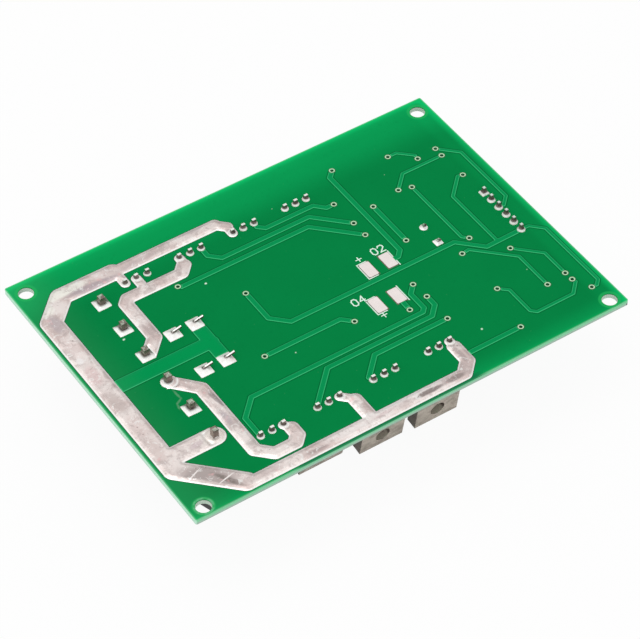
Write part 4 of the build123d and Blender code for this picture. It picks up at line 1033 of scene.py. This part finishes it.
newPiece("white_marks", verts, faces, white, smooth=False)
newPiece("pad_rims", bareVerts, bareFaces, bare, smooth=False)
print("marks printed")


# Pale floor: white to the camera and in reflections, plain diffuse for the light it gives back
studio = {
    "floorWhite": 1.0, "floorShadow": 0.06, "floorTone": (0.86, 0.86, 0.86), "reach": 3.0,
    "key": (-0.42, -0.50, 0.76), "dim": 0.20, "bright": 1.12, "from": -0.70, "to": 0.60,
    "lampPlace": (-0.12, 0.10, 0.75), "lampSize": 0.5, "lampPower": 1.3,
}
floorMat = Shader("studioFloor")
emission = floorMat.add("ShaderNodeEmission")
emission.inputs["Strength"].default_value = studio["floorWhite"]
floorMat.finish(studio["floorTone"], 0.9, specular=0.0)
shadowed = floorMat.add("ShaderNodeMixShader")
shadowed.inputs[0].default_value = studio["floorShadow"]
floorMat.link(emission.outputs[0], shadowed.inputs[1])
floorMat.link(floorMat.bsdf.outputs[0], shadowed.inputs[2])
path = floorMat.add("ShaderNodeLightPath")
seen = floorMat.math("MAXIMUM", path.outputs["Is Camera Ray"], path.outputs["Is Glossy Ray"])
seen = floorMat.math("MAXIMUM", seen, path.outputs["Is Transmission Ray"])
choose = floorMat.add("ShaderNodeMixShader")
floorMat.link(seen, choose.inputs[0])
floorMat.link(floorMat.bsdf.outputs[0], choose.inputs[1])
floorMat.link(shadowed.outputs[0], choose.inputs[2])
floorMat.link(choose.outputs[0], floorMat.tree.nodes["Material Output"].inputs["Surface"])
ground, reach = startBounds[0][2], studio["reach"]
corners = [(-reach, -reach, ground), (reach, -reach, ground), (reach, reach, ground), (-reach, reach, ground)]
mesh = bpy.data.meshes.new("studio_floor")
mesh.from_pydata(corners, [], [(0, 1, 2, 3)])
floor = bpy.data.objects.new("studio_floor", mesh)
bpy.context.scene.collection.objects.link(floor)
mesh.materials.append(floorMat.mat)

# World: a soft pale sky, brighter from the near left and above, with no other colour
world = bpy.data.worlds.new("studio")
bpy.context.scene.world = world
world.use_nodes = True
tree = world.node_tree
tree.nodes.clear()
output = tree.nodes.new("ShaderNodeOutputWorld")
background = tree.nodes.new("ShaderNodeBackground")
direction = tree.nodes.new("ShaderNodeTexCoord")
key = tree.nodes.new("ShaderNodeVectorMath")
key.operation = "DOT_PRODUCT"
key.inputs[1].default_value = Vector(studio["key"]).normalized()
tree.links.new(direction.outputs["Generated"], key.inputs[0])
soft = tree.nodes.new("ShaderNodeMapRange")
soft.interpolation_type = "SMOOTHSTEP"
for name, entry in (("From Min", "from"), ("From Max", "to"), ("To Min", "dim"), ("To Max", "bright")):
    soft.inputs[name].default_value = studio[entry]
tree.links.new(key.outputs["Value"], soft.inputs["Value"])
tree.links.new(soft.outputs["Result"], background.inputs["Strength"])
tree.links.new(background.outputs[0], output.inputs["Surface"])

lampData = bpy.data.lights.new("overhead", "AREA")
lampData.shape = "DISK"
lampData.size = studio["lampSize"]
lampData.energy = studio["lampPower"]
lamp = bpy.data.objects.new("overhead", lampData)
lamp.location = studio["lampPlace"]
lamp.rotation_euler = (-Vector(studio["lampPlace"])).to_track_quat("-Z", "Y").to_euler()
bpy.context.scene.collection.objects.link(lamp)

# Camera fitted to the corners of the photographed board: angles in degrees, focal length and width in
# pixels, aim and distance in mm, sensor in mm, nearest and furthest in metres
view = {
    "azimuth": 33.6453, "elevation": 46.6052, "roll": -0.2267, "focal": 2888.54, "imageWidth": 640.0,
    "aim": (-3.0506, -5.4747, 0.0), "distance": 562.308, "sensor": 36.0, "nearest": 0.01, "furthest": 20,
}
azimuth, elevation, roll = (math.radians(view[key]) for key in ("azimuth", "elevation", "roll"))
level = math.cos(elevation)
away = Vector((math.sin(azimuth) * level, math.cos(azimuth) * level, -math.sin(elevation)))
right = Vector((math.cos(azimuth), -math.sin(azimuth), 0))
up = right.cross(away)
r = right * math.cos(roll) + up * math.sin(roll)
u = up * math.cos(roll) - right * math.sin(roll)
camData = bpy.data.cameras.new("camera")
camData.sensor_width = view["sensor"]
camData.lens = view["focal"] * camData.sensor_width / view["imageWidth"]
camData.clip_start = view["nearest"]
camData.clip_end = view["furthest"]
camera = bpy.data.objects.new("camera", camData)
camera.matrix_world = Matrix((r, u, -away)).transposed().to_4x4()
camera.location = (Vector(view["aim"]) - away * view["distance"]) * mm
bpy.context.scene.collection.objects.link(camera)
bpy.context.scene.camera = camera
bpy.context.scene.view_settings.view_transform = "Standard"
print("studio set")
